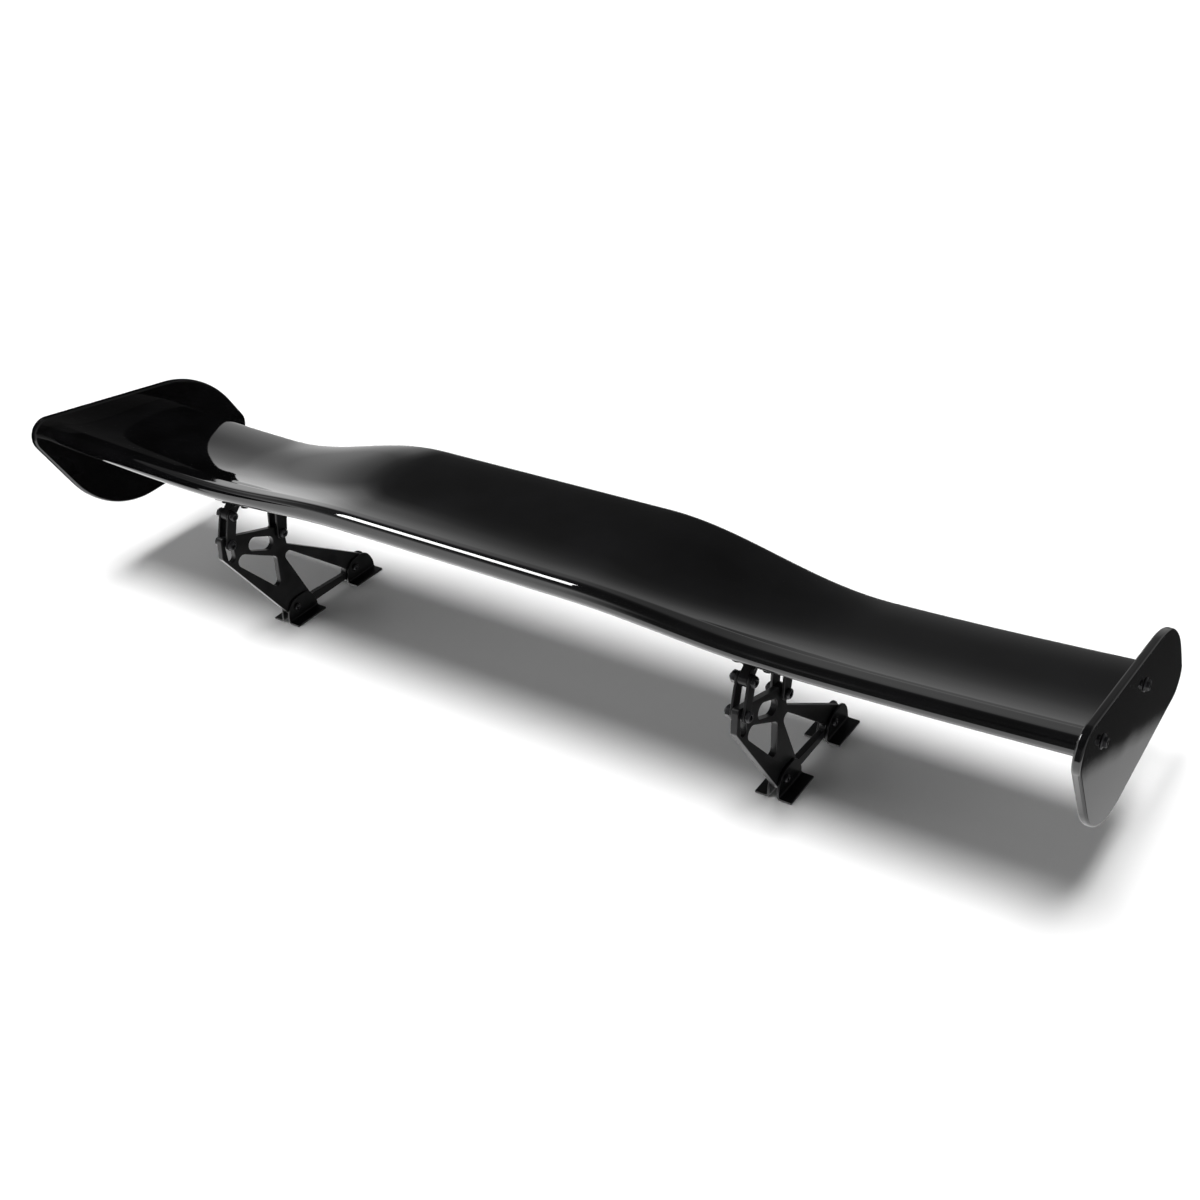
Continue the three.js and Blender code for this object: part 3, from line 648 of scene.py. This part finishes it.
def build_end_screws():
    for side, sign in SIDES:
        plate_low, plate_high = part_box("end_plate_" + side)
        face = (plate_high.x if sign > 0 else plate_low.x) / MM
        for end in ("rear", "front"):
            name = "end_plate_screw_" + side + "_" + end
            low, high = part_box(name)
            middle = (low + high) / 2 / MM
            outer = (high.x if sign > 0 else low.x) / MM
            inner = (low.x if sign > 0 else high.x) / MM
            height = min(abs(outer - face), SCREW_HEAD_HEIGHT)
            geometry = flange_screw(height, abs(face - inner))
            spin = Matrix.Rotation(0.35 if end == "rear" else 0.9, 4, "X")
            turn = Matrix.Rotation(0 if sign > 0 else math.pi, 4, "Z")
            matrix = Matrix.Translation((face, middle.y, middle.z)) @ turn @ spin
            verts, faces = transform(geometry, matrix)
            screw = new_object(name, verts, faces, OXIDE, 30)
            place(screw, "wing", [name])


# ---- Stands ----

def build_truss(side):
    name = "truss_plate_" + side
    low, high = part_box(name)
    holes = [
        circle(PIVOT, BOLT_HOLE_RADIUS),
        stadium((LINK_BOTTOM[0], SLOT_LOW), (LINK_BOTTOM[0], SLOT_HIGH), COLLAR_HOLE_RADIUS),
        stadium(OVAL_FROM, OVAL_TO, OVAL_RADIUS),
    ]
    holes += [rounded_outline(window) for window in TRUSS_WINDOWS]
    for centre in FOOT_CENTRES.values():
        holes.append(circle((centre + FOOT_BOLT[0], FOOT_BOLT[1]), FOOT_BOLT_HOLE_RADIUS, 28))
    thickness = (high.x - low.x) / MM
    geometry = plate_geometry(rounded_outline(TRUSS_CORNERS), holes, thickness, TRUSS_EDGE)
    verts, faces = transform(geometry, upright_at(low.x / MM))
    item = new_object(name, verts, faces, SATIN)
    place(item, "stands", [name])


def build_straps(side):
    for letter in ("a", "b"):
        name = "link_strap_" + side + "_" + letter
        low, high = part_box(name)
        holes = [circle(LINK_TOP, BOLT_HOLE_RADIUS), circle(LINK_BOTTOM, BOLT_HOLE_RADIUS)]
        outline = stadium(LINK_BOTTOM, LINK_TOP, STRAP_HALF_WIDTH)
        geometry = plate_geometry(outline, holes, (high.x - low.x) / MM, 0.6)
        verts, faces = transform(geometry, upright_at(low.x / MM))
        item = new_object(name, verts, faces, SATIN)
        place(item, "link_" + side, [name])


def button_bolt(shank_radius, length, head_radius, head_height, collar, flats):
    """Domed socket-head bolt along +X: seat at x = 0, a chamfered thread end and an optional collar."""
    rings = [(-length, 0, None), (-length, shank_radius * 0.72, None)]
    rings.append((-length + 0.8, shank_radius * 0.97, None))
    thread_end = -length + THREAD_LENGTH
    pitch = 1.25 if shank_radius > 3.5 else 1.0
    x = -length + 1.2
    while x < thread_end:
        rings.append((x, shank_radius * 0.97, None))
        rings.append((x + pitch / 2, shank_radius * 0.86, None))
        x += pitch
    rings.append((thread_end + 0.4, shank_radius, None))
    if collar:
        radius, start, end = collar
        rings += [(start, shank_radius, None), (start, radius - 0.4, None), (start + 0.4, radius, None)]
        rings += [(end - 0.4, radius, None), (end, radius - 0.4, None), (end, shank_radius, None)]
    rings += [(-0.3, shank_radius, None), (0, shank_radius + 0.2, None), (0, head_radius - 0.4, None)]
    rings += [(0.3, head_radius - 0.05, None), (head_height * 0.28, head_radius, None)]
    for step in range(1, 7):
        angle = math.pi / 2 * step / 6
        reach = mix(head_radius, flats + 1.6, 1 - math.cos(angle) ** 0.9 if step < 6 else 1)
        rings.append((mix(head_height * 0.28, head_height, math.sin(angle)), reach, None))
    rings += [
        (head_height, flats + 0.6, None), (head_height - 0.35, flats * 1.09, flats),
        (head_height * 0.42, flats * 1.09, flats), (head_height * 0.28, flats * 0.5, None),
        (head_height * 0.28, 0, None),
    ]
    return lathe_geometry(rings)


def hex_nut(hole_radius, corner_radius, height):
    """Chamfered hexagon nut from x = 0 to x = height."""
    flats = corner_radius * math.cos(math.pi / 6)
    rings = [
        (0.6, hole_radius, None), (0, hole_radius + 0.6, None),
        (0, flats - 0.5, None), (0.2, flats - 0.1, None),
        (0.75, corner_radius * 0.985, flats), (1.1, corner_radius, flats),
        (height - 1.1, corner_radius, flats), (height - 0.75, corner_radius * 0.985, flats),
        (height - 0.2, flats - 0.1, None), (height, flats - 0.5, None),
        (height, hole_radius + 0.6, None), (height - 0.6, hole_radius, None),
    ]
    verts, faces = lathe_geometry(rings)
    last = LATHE_SEGMENTS * (len(rings) - 1)
    for index in range(LATHE_SEGMENTS):
        ahead = (index + 1) % LATHE_SEGMENTS
        faces.append((index, ahead, last + ahead, last + index))
    return verts, faces


def build_through_bolt(names, body, size, collar_half, spin):
    """Bolt and its nut; the collar, where there is one, lies in the middle of the clamped pack."""
    bolt_name, nut_name = names
    shank_radius, head_radius, flats = size
    low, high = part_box(bolt_name)
    head_height = shank_radius * HEAD_PER_SHANK
    seat = high.x / MM - head_height
    length = seat - low.x / MM
    nut_low, nut_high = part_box(nut_name)
    pack_middle = (seat + nut_high.x / MM) / 2
    collar = None
    if collar_half:
        collar = (COLLAR_RADIUS, pack_middle - seat - collar_half, pack_middle - seat + collar_half)
    middle = (low + high) / 2 / MM
    matrix = Matrix.Translation((seat, middle.y, middle.z)) @ Matrix.Rotation(spin, 4, "X")
    geometry = button_bolt(shank_radius, length, head_radius, head_height, collar, flats)
    verts, faces = transform(geometry, matrix)
    place(new_object(bolt_name, verts, faces, OXIDE, 34), body, [bolt_name])
    nut_height = (nut_high.x - nut_low.x) / MM
    corner = (nut_high.y - nut_low.y) / 2 / MM
    geometry = hex_nut(shank_radius + 0.25, corner, nut_height)
    matrix = Matrix.Translation((nut_low.x / MM, middle.y, middle.z))
    verts, faces = transform(geometry, matrix)
    place(new_object(nut_name, verts, faces, OXIDE, 30), body, [nut_name])


def tab_height(y):
    """Height of a foot's upright tab at a distance y from the foot's middle."""
    share = max(0, (abs(y) - TAB_FLAT_HALF) / (FOOT_HALF_LENGTH - TAB_FLAT_HALF))
    return FOOT_SHEET + 3 + (FOOT_TAB_HEIGHT - FOOT_SHEET - 3) * (1 - share ** TAB_POWER) ** TAB_ROUNDNESS


def foot_profile(height, inner):
    """Closed bent-sheet section (x, z) for one tab height, with small edge rounds."""
    edge = FOOT_EDGE
    outer_x = FOOT_HALF_WIDTH
    points = arc((inner + FOOT_BEND, FOOT_BEND), FOOT_BEND, math.pi, 1.5 * math.pi, 8)
    points += [(mix(inner + FOOT_BEND, outer_x - edge, 0.5), 0)]
    points += arc((outer_x - edge, edge), edge, -math.pi / 2, 0, 3)
    points += arc((outer_x - edge, FOOT_SHEET - edge), edge, 0, math.pi / 2, 3)
    points += [(mix(inner + FOOT_BEND, outer_x - edge, 0.5), FOOT_SHEET)]
    points += arc((inner + FOOT_BEND, FOOT_BEND), FOOT_BEND - FOOT_SHEET, 1.5 * math.pi, math.pi, 6)
    points += arc((inner + FOOT_SHEET - edge, height - edge), edge, 0, math.pi / 2, 3)
    points += arc((inner + edge, height - edge), edge, math.pi / 2, math.pi, 3)
    return points


def build_foot(end, side, letter):
    name = end + "_foot_" + side + "_" + letter
    low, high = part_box(name)
    truss_low, truss_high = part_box("truss_plate_" + side)
    middle_x = (truss_low.x + truss_high.x) / 2 / MM
    middle_y = (low.y + high.y) / 2 / MM
    sign = 1 if letter == "a" else -1
    inner = (low.x / MM - middle_x) if sign > 0 else (middle_x - high.x / MM)
    edge = 0.6
    stations = [(-FOOT_HALF_LENGTH, edge), (-FOOT_HALF_LENGTH + 0.2, 0.2), (-FOOT_HALF_LENGTH + edge, 0)]
    count = 44
    for step in range(1, count):
        turn = math.pi * step / count
        stations.append((-(FOOT_HALF_LENGTH - edge) * math.cos(turn), 0))
    stations += [(FOOT_HALF_LENGTH - edge, 0), (FOOT_HALF_LENGTH - 0.2, 0.2), (FOOT_HALF_LENGTH, edge)]
    verts = []
    faces = []
    ring_size = 0
    for y, shrink in stations:
        ring = foot_profile(tab_height(y), inner)
        if shrink:
            ring = inset(counter_clockwise(ring), shrink * 0.7)
        else:
            ring = counter_clockwise(ring)
        ring_size = len(ring)
        verts += [(x, y, z) for x, z in ring]
    for station in range(len(stations) - 1):
        here = station * ring_size
        following = here + ring_size
        for index in range(ring_size):
            ahead = (index + 1) % ring_size
            faces.append((here + index, here + ahead, following + ahead, following + index))
    last = (len(stations) - 1) * ring_size
    faces.append(tuple(reversed(range(ring_size))))
    faces.append(tuple(range(last, last + ring_size)))
    faces = [tuple(reversed(face)) for face in faces]
    shift = Matrix.Translation((middle_x, middle_y, 0)) @ Matrix.Diagonal((sign, 1, 1, 1))
    item = scratch_object(transform((verts, faces), shift))
    item.name = name
    drill_length = 30
    drill = lathe_geometry([
        (0, 0, None), (0, FOOT_BOLT_HOLE_RADIUS, None),
        (drill_length, FOOT_BOLT_HOLE_RADIUS, None), (drill_length, 0, None),
    ])
    drill_start = (middle_x - drill_length / 2, middle_y + FOOT_BOLT[0], FOOT_BOLT[1])
    boolean(item, scratch_object(transform(drill, Matrix.Translation(drill_start))), "DIFFERENCE")
    finish_mesh(item, SATIN, 38)
    place(item, "stands", [name])


# ---- Brackets under the blade ----

def flange_matrix(x, y):
    """Frame of a bracket flange: its top follows the blade's lower face at (x, y)."""
    reach_x = FLANGE_SIZE[0] / 2
    reach_y = FLANGE_SIZE[1] / 2
    slope_x = (underside_height(x + reach_x, y) - underside_height(x - reach_x, y)) / FLANGE_SIZE[0]
    slope_y = (underside_height(x, y + reach_y) - underside_height(x, y - reach_y)) / FLANGE_SIZE[1]
    along = Vector((1, 0, slope_x)).normalized()
    up = Vector((-slope_x, -slope_y, 1)).normalized()
    across = up.cross(along)
    origin = (x, y, underside_height(x, y))
    columns = (along, across, up)
    rows = [[columns[column][row] for column in range(3)] + [origin[row]] for row in range(3)]
    return Matrix(rows + [[0, 0, 0, 1]])


def flange_plate(matrix):
    half_x = FLANGE_SIZE[0] / 2
    half_y = FLANGE_SIZE[1] / 2
    corners = ((-half_x, -half_y), (half_x, -half_y), (half_x, half_y), (-half_x, half_y))
    outline = rounded_outline([(u, v, FLANGE_CORNER) for u, v in corners], 0.6)
    holes = [circle((offset, 0), FLANGE_HOLE_RADIUS, 28) for offset in (-FLANGE_SCREW_X, FLANGE_SCREW_X)]
    geometry = plate_geometry(outline, holes, FLANGE_SIZE[2], 0.6)
    lowered = Matrix.Translation((0, 0, -FLANGE_SIZE[2] - FLANGE_GAP))
    return scratch_object(transform(geometry, matrix @ lowered))


def build_rear_bracket(side, x):
    """Flange with a curved lug that reaches down and back to the upper link bolt."""
    name = "rear_bracket_" + side
    height = underside_height(x, REAR_FLANGE_Y)
    item = flange_plate(flange_matrix(x, REAR_FLANGE_Y))
    item.name = name
    lug = arc(LINK_TOP, REAR_LUG_RADIUS, 0.75 * math.pi, 1.75 * math.pi, 26)
    start = Vector(lug[-1])
    control = Vector((REAR_FLANGE_Y - 4, height - 14))
    end = Vector((REAR_FLANGE_Y + 8, height - 5))
    for step in range(1, 13):
        t = step / 12
        point = start * (1 - t) ** 2 + control * 2 * t * (1 - t) + end * t ** 2
        lug.append((point.x, point.y))
    lug += [(REAR_FLANGE_Y + 8, height - 2.2), (REAR_FLANGE_Y - 11, height - 1.4)]
    hole = circle(LINK_TOP, LINK_HOLE_RADIUS)
    half = FORK_HALF - 0.3
    geometry = plate_geometry(lug, [hole], 2 * half, 0.6)
    boolean(item, scratch_object(transform(geometry, upright_at(x - half))), "UNION")
    flare = [(-12, height - 2.2), (12, height - 2.2), (12, height - 3.6)]
    flare += arc((half + 5.2, height - 8.6), 5, math.pi / 2, math.pi, 8)[1:]
    flare += [(half, height - 9.5), (-half, height - 9.5)]
    flare += arc((-half - 5.2, height - 8.6), 5, 0, math.pi / 2, 8)[:-1]
    flare += [(-12, height - 3.6)]
    geometry = plate_geometry(flare, [], 15, 0.5, 2)
    stand = Matrix(((1, 0, 0, x), (0, 0, 1, REAR_FLANGE_Y - 9), (0, 1, 0, 0), (0, 0, 0, 1)))
    boolean(item, scratch_object(transform(geometry, stand)), "UNION")
    finish_mesh(item, SATIN, 38)
    place(item, "wing", [name])


def build_front_bracket(side, x):
    """Flange with two ears that hold the truss plate's mast between them."""
    name = "front_bracket_" + side
    height = underside_height(x, FRONT_FLANGE_Y)
    item = flange_plate(flange_matrix(x, FRONT_FLANGE_Y))
    item.name = name
    ear = arc(PIVOT, FRONT_EAR_RADIUS, math.pi, 2 * math.pi, 24)
    ear += [(FRONT_FLANGE_Y + 11, height - 6), (FRONT_FLANGE_Y + 11, height - 2.4)]
    ear += [(FRONT_FLANGE_Y - 11, height - 1.2), (FRONT_FLANGE_Y - 11, height - 4)]
    for start in (FORK_HALF, -FORK_HALF - EAR_THICKNESS):
        geometry = plate_geometry(ear, [circle(PIVOT, BOLT_HOLE_RADIUS)], EAR_THICKNESS, 0.5)
        boolean(item, scratch_object(transform(geometry, upright_at(x + start))), "UNION")
        outward = 1 if start > 0 else -1
        face = FORK_HALF + EAR_THICKNESS
        fillet = [(face - 1.5, height - 2.4), (face + 4, height - 2.4), (face + 4, height - 4.2)]
        fillet += arc((face + 4, height - 8.2), 4, math.pi / 2, math.pi, 6)[1:]
        fillet += [(face - 1.5, height - 8.5)]
        geometry = plate_geometry(fillet, [], 20, 0.3, 1)
        stand = Matrix(((outward, 0, 0, x), (0, 0, 1, FRONT_FLANGE_Y - 10), (0, 1, 0, 0), (0, 0, 0, 1)))
        boolean(item, scratch_object(transform(geometry, stand)), "UNION")
    finish_mesh(item, SATIN, 38)
    place(item, "wing", [name])


def build_bracket_screws(side, sign, x):
    for end, y in (("rear", REAR_FLANGE_Y), ("front", FRONT_FLANGE_Y)):
        matrix = flange_matrix(x, y)
        for place_name, direction in (("outer", sign), ("inner", -sign)):
            name = end + "_bracket_screw_" + side + "_" + place_name
            seat = -FLANGE_SIZE[2] - 0.5
            head = 4.5
            rings = [
                (-13, 0, None), (-13, 1.8, None), (-12.4, 2.4, None), (-0.2, 2.45, None),
                (0, 2.6, None), (0, 4.9, None), (0.25, 5.25, None), (0.9, 5.3, None),
                (1.2, 5.05, None), (1.3, 4.95, 4.3), (head - 0.8, 4.95, 4.3),
                (head - 0.3, 4.6, 4.28), (head, 4.0, None), (head, 0, None),
            ]
            geometry = lathe_geometry(rings)
            seat_place = Matrix.Translation((direction * FLANGE_SCREW_X, 0, seat))
            drop = matrix @ seat_place @ Matrix.Rotation(math.pi / 2, 4, "Y")
            verts, faces = transform(geometry, drop)
            screw = new_object(name, verts, faces, OXIDE, 30)
            place(screw, "wing", [name])


# ---- Build everything ----

build_blade()
build_end_plates()
build_end_screws()
for side, sign in SIDES:
    truss_low, truss_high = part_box("truss_plate_" + side)
    stand_x = (truss_low.x + truss_high.x) / 2 / MM
    build_truss(side)
    build_straps(side)
    build_through_bolt(("link_bolt_" + side, "link_nut_" + side), "link_" + side, LARGE_BOLT, None, 0.2)
    names = ("slot_bolt_" + side, "slot_nut_" + side)
    build_through_bolt(names, "slider_" + side, LARGE_BOLT, SLOT_COLLAR_HALF, 0.6)
    build_through_bolt(("pivot_bolt_" + side, "pivot_nut_" + side), "stands", LARGE_BOLT, None, 0.4)
    for end in ("rear", "front"):
        for letter in ("a", "b"):
            build_foot(end, side, letter)
        names = (end + "_foot_bolt_" + side, end + "_foot_nut_" + side)
        build_through_bolt(names, "stands", SMALL_BOLT, None, 0.3)
    build_rear_bracket(side, stand_x)
    build_front_bracket(side, stand_x)
    build_bracket_screws(side, sign, stand_x)


# ---- Stage, light and camera (metres and degrees) ----

FLOOR_REACH = 12
FLOOR_DROP = 0.0005

# Stops of (degrees, brightness): by height above the horizon, or by turn, which is 0 ahead and grows leftward
LEVEL_TOP = 4
FRONT_ABOVE = [
    (-16, 0.36), (0, 0.4), (8, 0.36), (14, 0.25), (22, 0.13), (30, 0.08), (40, 0.07), (50, 0.05), (90, 0.04),
]
LEFT_BOOST = [(-180, 1), (22, 1), (34, 0.85), (40, 1.5), (45, 3.3), (47.5, 3.3), (50.5, 1.6), (180, 1.6)]
BOOST_FADE = [(-90, 1), (19, 1), (26, 0), (90, 0)]
FRONT_BELOW = [
    (-90, 0.86), (-46, 0.64), (-38.4, 0.44), (-38.1, 0.03), (-30, 0.024), (-22, 0.016), (90, 0.016),
]
PANEL_SLANT = 0.78
PANEL_TURN = 14.2
PANEL_HALF_WIDTH = 10
REAR_ABOVE = [(-16, 2.2), (30, 2.2), (38, 0.4), (48, 0.08), (90, 0.04)]
REAR_LEFT = [(-180, 0.1), (60, 0.6), (100, 1), (146, 1), (154, 0.05), (180, 0.05)]
REAR_BELOW = 2.4
FRONT_SECTOR = [(-180, 0), (-75, 0), (-60, 1), (58, 1), (72, 0), (180, 0)]
BELOW_STEP = [(-90, 1), (-20, 1), (-14, 0), (90, 0)]
BACKDROP = 1.0

CARD_X = -0.765
CARD_OUTLINE = [(-0.5, 0.1), (0.24, 0.1), (0.23, 0.25), (0.182, 0.31), (0.1, 0.38), (-0.5, 0.6)]

SOFTBOX_PLACE = (-1.5, -0.05, 2.3)
SOFTBOX_TARGET = (0, -0.1, 0.25)
SOFTBOX_SIZE = (1.0, 0.8)
SOFTBOX_WATTS = 62
SUN_DIRECTION = (0.0, 0.2, -1)
SUN_ANGLE = 27
SUN_STRENGTH = 3.5

CAMERA_PLACE = (0.98665, -1.19981, 1.06119)
CAMERA_YAW = 36.836
CAMERA_PITCH = 32.106
CAMERA_ROLL = -4.817
CAMERA_LENS = 43.432
CAMERA_SENSOR = 36


def build_floor():
    mesh = bpy.data.meshes.new("floor")
    corners = [(-1, -1), (1, -1), (1, 1), (-1, 1)]
    mesh.from_pydata([(x * FLOOR_REACH, y * FLOOR_REACH, 0) for x, y in corners], [], [(0, 1, 2, 3)])
    floor = bpy.data.objects.new("floor", mesh)
    bpy.context.scene.collection.objects.link(floor)
    floor.location.z = -FLOOR_DROP
    material = bpy.data.materials.new("floor")
    material.use_nodes = True
    shader = material.node_tree.nodes["Principled BSDF"]
    shader.inputs["Base Color"].default_value = (0.9, 0.9, 0.9, 1)
    shader.inputs["Roughness"].default_value = 0.9
    shader.inputs["Specular IOR Level"].default_value = 0.0
    mesh.materials.append(material)
    floor.visible_glossy = False


def math_node(tree, operation, first, second=None):
    """One math node; inputs are sockets or numbers."""
    node = tree.nodes.new("ShaderNodeMath")
    node.operation = operation
    for index, value in enumerate((first, second)):
        if value is None:
            continue
        if isinstance(value, (int, float)):
            node.inputs[index].default_value = value
        else:
            tree.links.new(value, node.inputs[index])
    return node.outputs["Value"]


def level_curve(tree, degrees, stops, low=-90, high=90):
    """Brightness that follows (degrees, value) stops; values up to LEVEL_TOP."""
    share = tree.nodes.new("ShaderNodeMapRange")
    share.inputs["From Min"].default_value = low
    share.inputs["From Max"].default_value = high
    tree.links.new(degrees, share.inputs["Value"])
    ramp = tree.nodes.new("ShaderNodeValToRGB")
    tree.links.new(share.outputs["Result"], ramp.inputs["Fac"])
    elements = ramp.color_ramp.elements
    while len(elements) < len(stops):
        elements.new(0.5)
    for element, (angle, value) in zip(elements, stops):
        element.position = (angle - low) / (high - low)
        shade = value / LEVEL_TOP
        element.color = (shade, shade, shade, 1)
    return math_node(tree, "MULTIPLY", ramp.outputs["Color"], LEVEL_TOP)


def build_world():
    """Studio surround: grey near the horizon, dark overhead, pale panels left, behind and below.

    A plain white backdrop takes its place where the surround would be seen directly.
    """
    world = bpy.data.worlds.new("studio")
    bpy.context.scene.world = world
    world.use_nodes = True
    tree = world.node_tree
    background = tree.nodes["Background"]
    direction = tree.nodes.new("ShaderNodeTexCoord")
    split = tree.nodes.new("ShaderNodeSeparateXYZ")
    tree.links.new(direction.outputs["Generated"], split.inputs["Vector"])
    to_degrees = 180 / math.pi
    height = math_node(tree, "MULTIPLY", math_node(tree, "ARCSINE", split.outputs["Z"]), to_degrees)
    leftward = math_node(tree, "MULTIPLY", split.outputs["X"], -1)
    turn = math_node(tree, "MULTIPLY", math_node(tree, "ARCTAN2", leftward, split.outputs["Y"]), to_degrees)
    boost = math_node(tree, "SUBTRACT", level_curve(tree, turn, LEFT_BOOST, -180, 180), 1)
    boost = math_node(tree, "MULTIPLY", boost, level_curve(tree, height, BOOST_FADE))
    boost = math_node(tree, "ADD", boost, 1)
    front_above = math_node(tree, "MULTIPLY", level_curve(tree, height, FRONT_ABOVE), boost)
    rear_above = level_curve(tree, height, REAR_ABOVE)
    rear_above = math_node(tree, "MULTIPLY", rear_above, level_curve(tree, turn, REAR_LEFT, -180, 180))
    front = level_curve(tree, turn, FRONT_SECTOR, -180, 180)
    rear = math_node(tree, "SUBTRACT", 1, front)
    below = level_curve(tree, height, BELOW_STEP)
    above = math_node(tree, "SUBTRACT", 1, below)
    upper = math_node(tree, "ADD", math_node(tree, "MULTIPLY", front_above, front),
                      math_node(tree, "MULTIPLY", rear_above, rear))
    slant = math_node(tree, "ADD", turn, PANEL_TURN)
    slant = math_node(tree, "MINIMUM", slant, PANEL_HALF_WIDTH)
    slant = math_node(tree, "MAXIMUM", slant, -PANEL_HALF_WIDTH)
    slanted = math_node(tree, "SUBTRACT", height, math_node(tree, "MULTIPLY", slant, PANEL_SLANT))
    front_below = math_node(tree, "MULTIPLY", level_curve(tree, slanted, FRONT_BELOW), front)
    lower = math_node(tree, "ADD", front_below, math_node(tree, "MULTIPLY", rear, REAR_BELOW))
    total = math_node(tree, "ADD", math_node(tree, "MULTIPLY", upper, above),
                      math_node(tree, "MULTIPLY", lower, below))
    tree.links.new(total, background.inputs["Strength"])
    background.inputs["Color"].default_value = (1, 1, 1, 1)
    backdrop = tree.nodes.new("ShaderNodeBackground")
    backdrop.inputs["Color"].default_value = (1, 1, 1, 1)
    backdrop.inputs["Strength"].default_value = BACKDROP
    rays = tree.nodes.new("ShaderNodeLightPath")
    seen = tree.nodes.new("ShaderNodeMixShader")
    tree.links.new(rays.outputs["Is Camera Ray"], seen.inputs[0])
    tree.links.new(background.outputs["Background"], seen.inputs[1])
    tree.links.new(backdrop.outputs["Background"], seen.inputs[2])
    tree.links.new(seen.outputs["Shader"], tree.nodes["World Output"].inputs["Surface"])


def add_sun(name, direction, angle, strength):
    data = bpy.data.lights.new(name, "SUN")
    data.energy = strength
    data.angle = math.radians(angle)
    sun = bpy.data.objects.new(name, data)
    bpy.context.scene.collection.objects.link(sun)
    sun.rotation_euler = Vector(direction).to_track_quat("-Z", "Y").to_euler()
    sun.visible_glossy = False


def build_card():
    """Black card beyond the left end plate, which only reflections see."""
    mesh = bpy.data.meshes.new("black card")
    mesh.from_pydata([(CARD_X, y, z) for y, z in CARD_OUTLINE], [], [tuple(range(len(CARD_OUTLINE)))])
    card = bpy.data.objects.new("black_card", mesh)
    bpy.context.scene.collection.objects.link(card)
    material = bpy.data.materials.new("black card")
    material.use_nodes = True
    shader = material.node_tree.nodes["Principled BSDF"]
    shader.inputs["Base Color"].default_value = (0, 0, 0, 1)
    shader.inputs["Specular IOR Level"].default_value = 0
    shader.inputs["Roughness"].default_value = 1
    mesh.materials.append(material)
    card.visible_camera = False
    card.visible_diffuse = False
    card.visible_shadow = False


def add_area(name, location, target, size, watts, glossy):
    data = bpy.data.lights.new(name, "AREA")
    data.shape = "RECTANGLE"
    data.size, data.size_y = size
    data.energy = watts
    light = bpy.data.objects.new(name, data)
    bpy.context.scene.collection.objects.link(light)
    light.location = location
    light.rotation_euler = (Vector(target) - Vector(location)).to_track_quat("-Z", "Y").to_euler()
    light.visible_glossy = glossy
    return light


def build_camera():
    """Camera at the height and angle from which the object is seen best."""
    yaw = math.radians(CAMERA_YAW)
    pitch = math.radians(CAMERA_PITCH)
    roll = math.radians(CAMERA_ROLL)
    forward = Vector((-math.sin(yaw) * math.cos(pitch), math.cos(yaw) * math.cos(pitch), -math.sin(pitch)))
    level = Vector((math.cos(yaw), math.sin(yaw), 0))
    above = level.cross(forward)
    right = math.cos(roll) * level + math.sin(roll) * above
    up = math.cos(roll) * above - math.sin(roll) * level
    data = bpy.data.cameras.new("camera")
    data.sensor_width = CAMERA_SENSOR
    data.lens = CAMERA_LENS
    data.clip_start = 0.05
    camera = bpy.data.objects.new("camera", data)
    bpy.context.scene.collection.objects.link(camera)
    rows = [[right[row], up[row], -forward[row]] for row in range(3)]
    placed = [row + [CAMERA_PLACE[index]] for index, row in enumerate(rows)]
    camera.matrix_world = Matrix(placed + [[0, 0, 0, 1]])
    bpy.context.scene.camera = camera


build_floor()
build_world()
build_card()
softbox = add_area("softbox", SOFTBOX_PLACE, SOFTBOX_TARGET, SOFTBOX_SIZE, SOFTBOX_WATTS, True)
softbox.visible_diffuse = False
add_sun("overhead", SUN_DIRECTION, SUN_ANGLE, SUN_STRENGTH)
build_camera()

scene = bpy.context.scene
scene.view_settings.view_transform = "Standard"
scene.view_settings.look = "None"

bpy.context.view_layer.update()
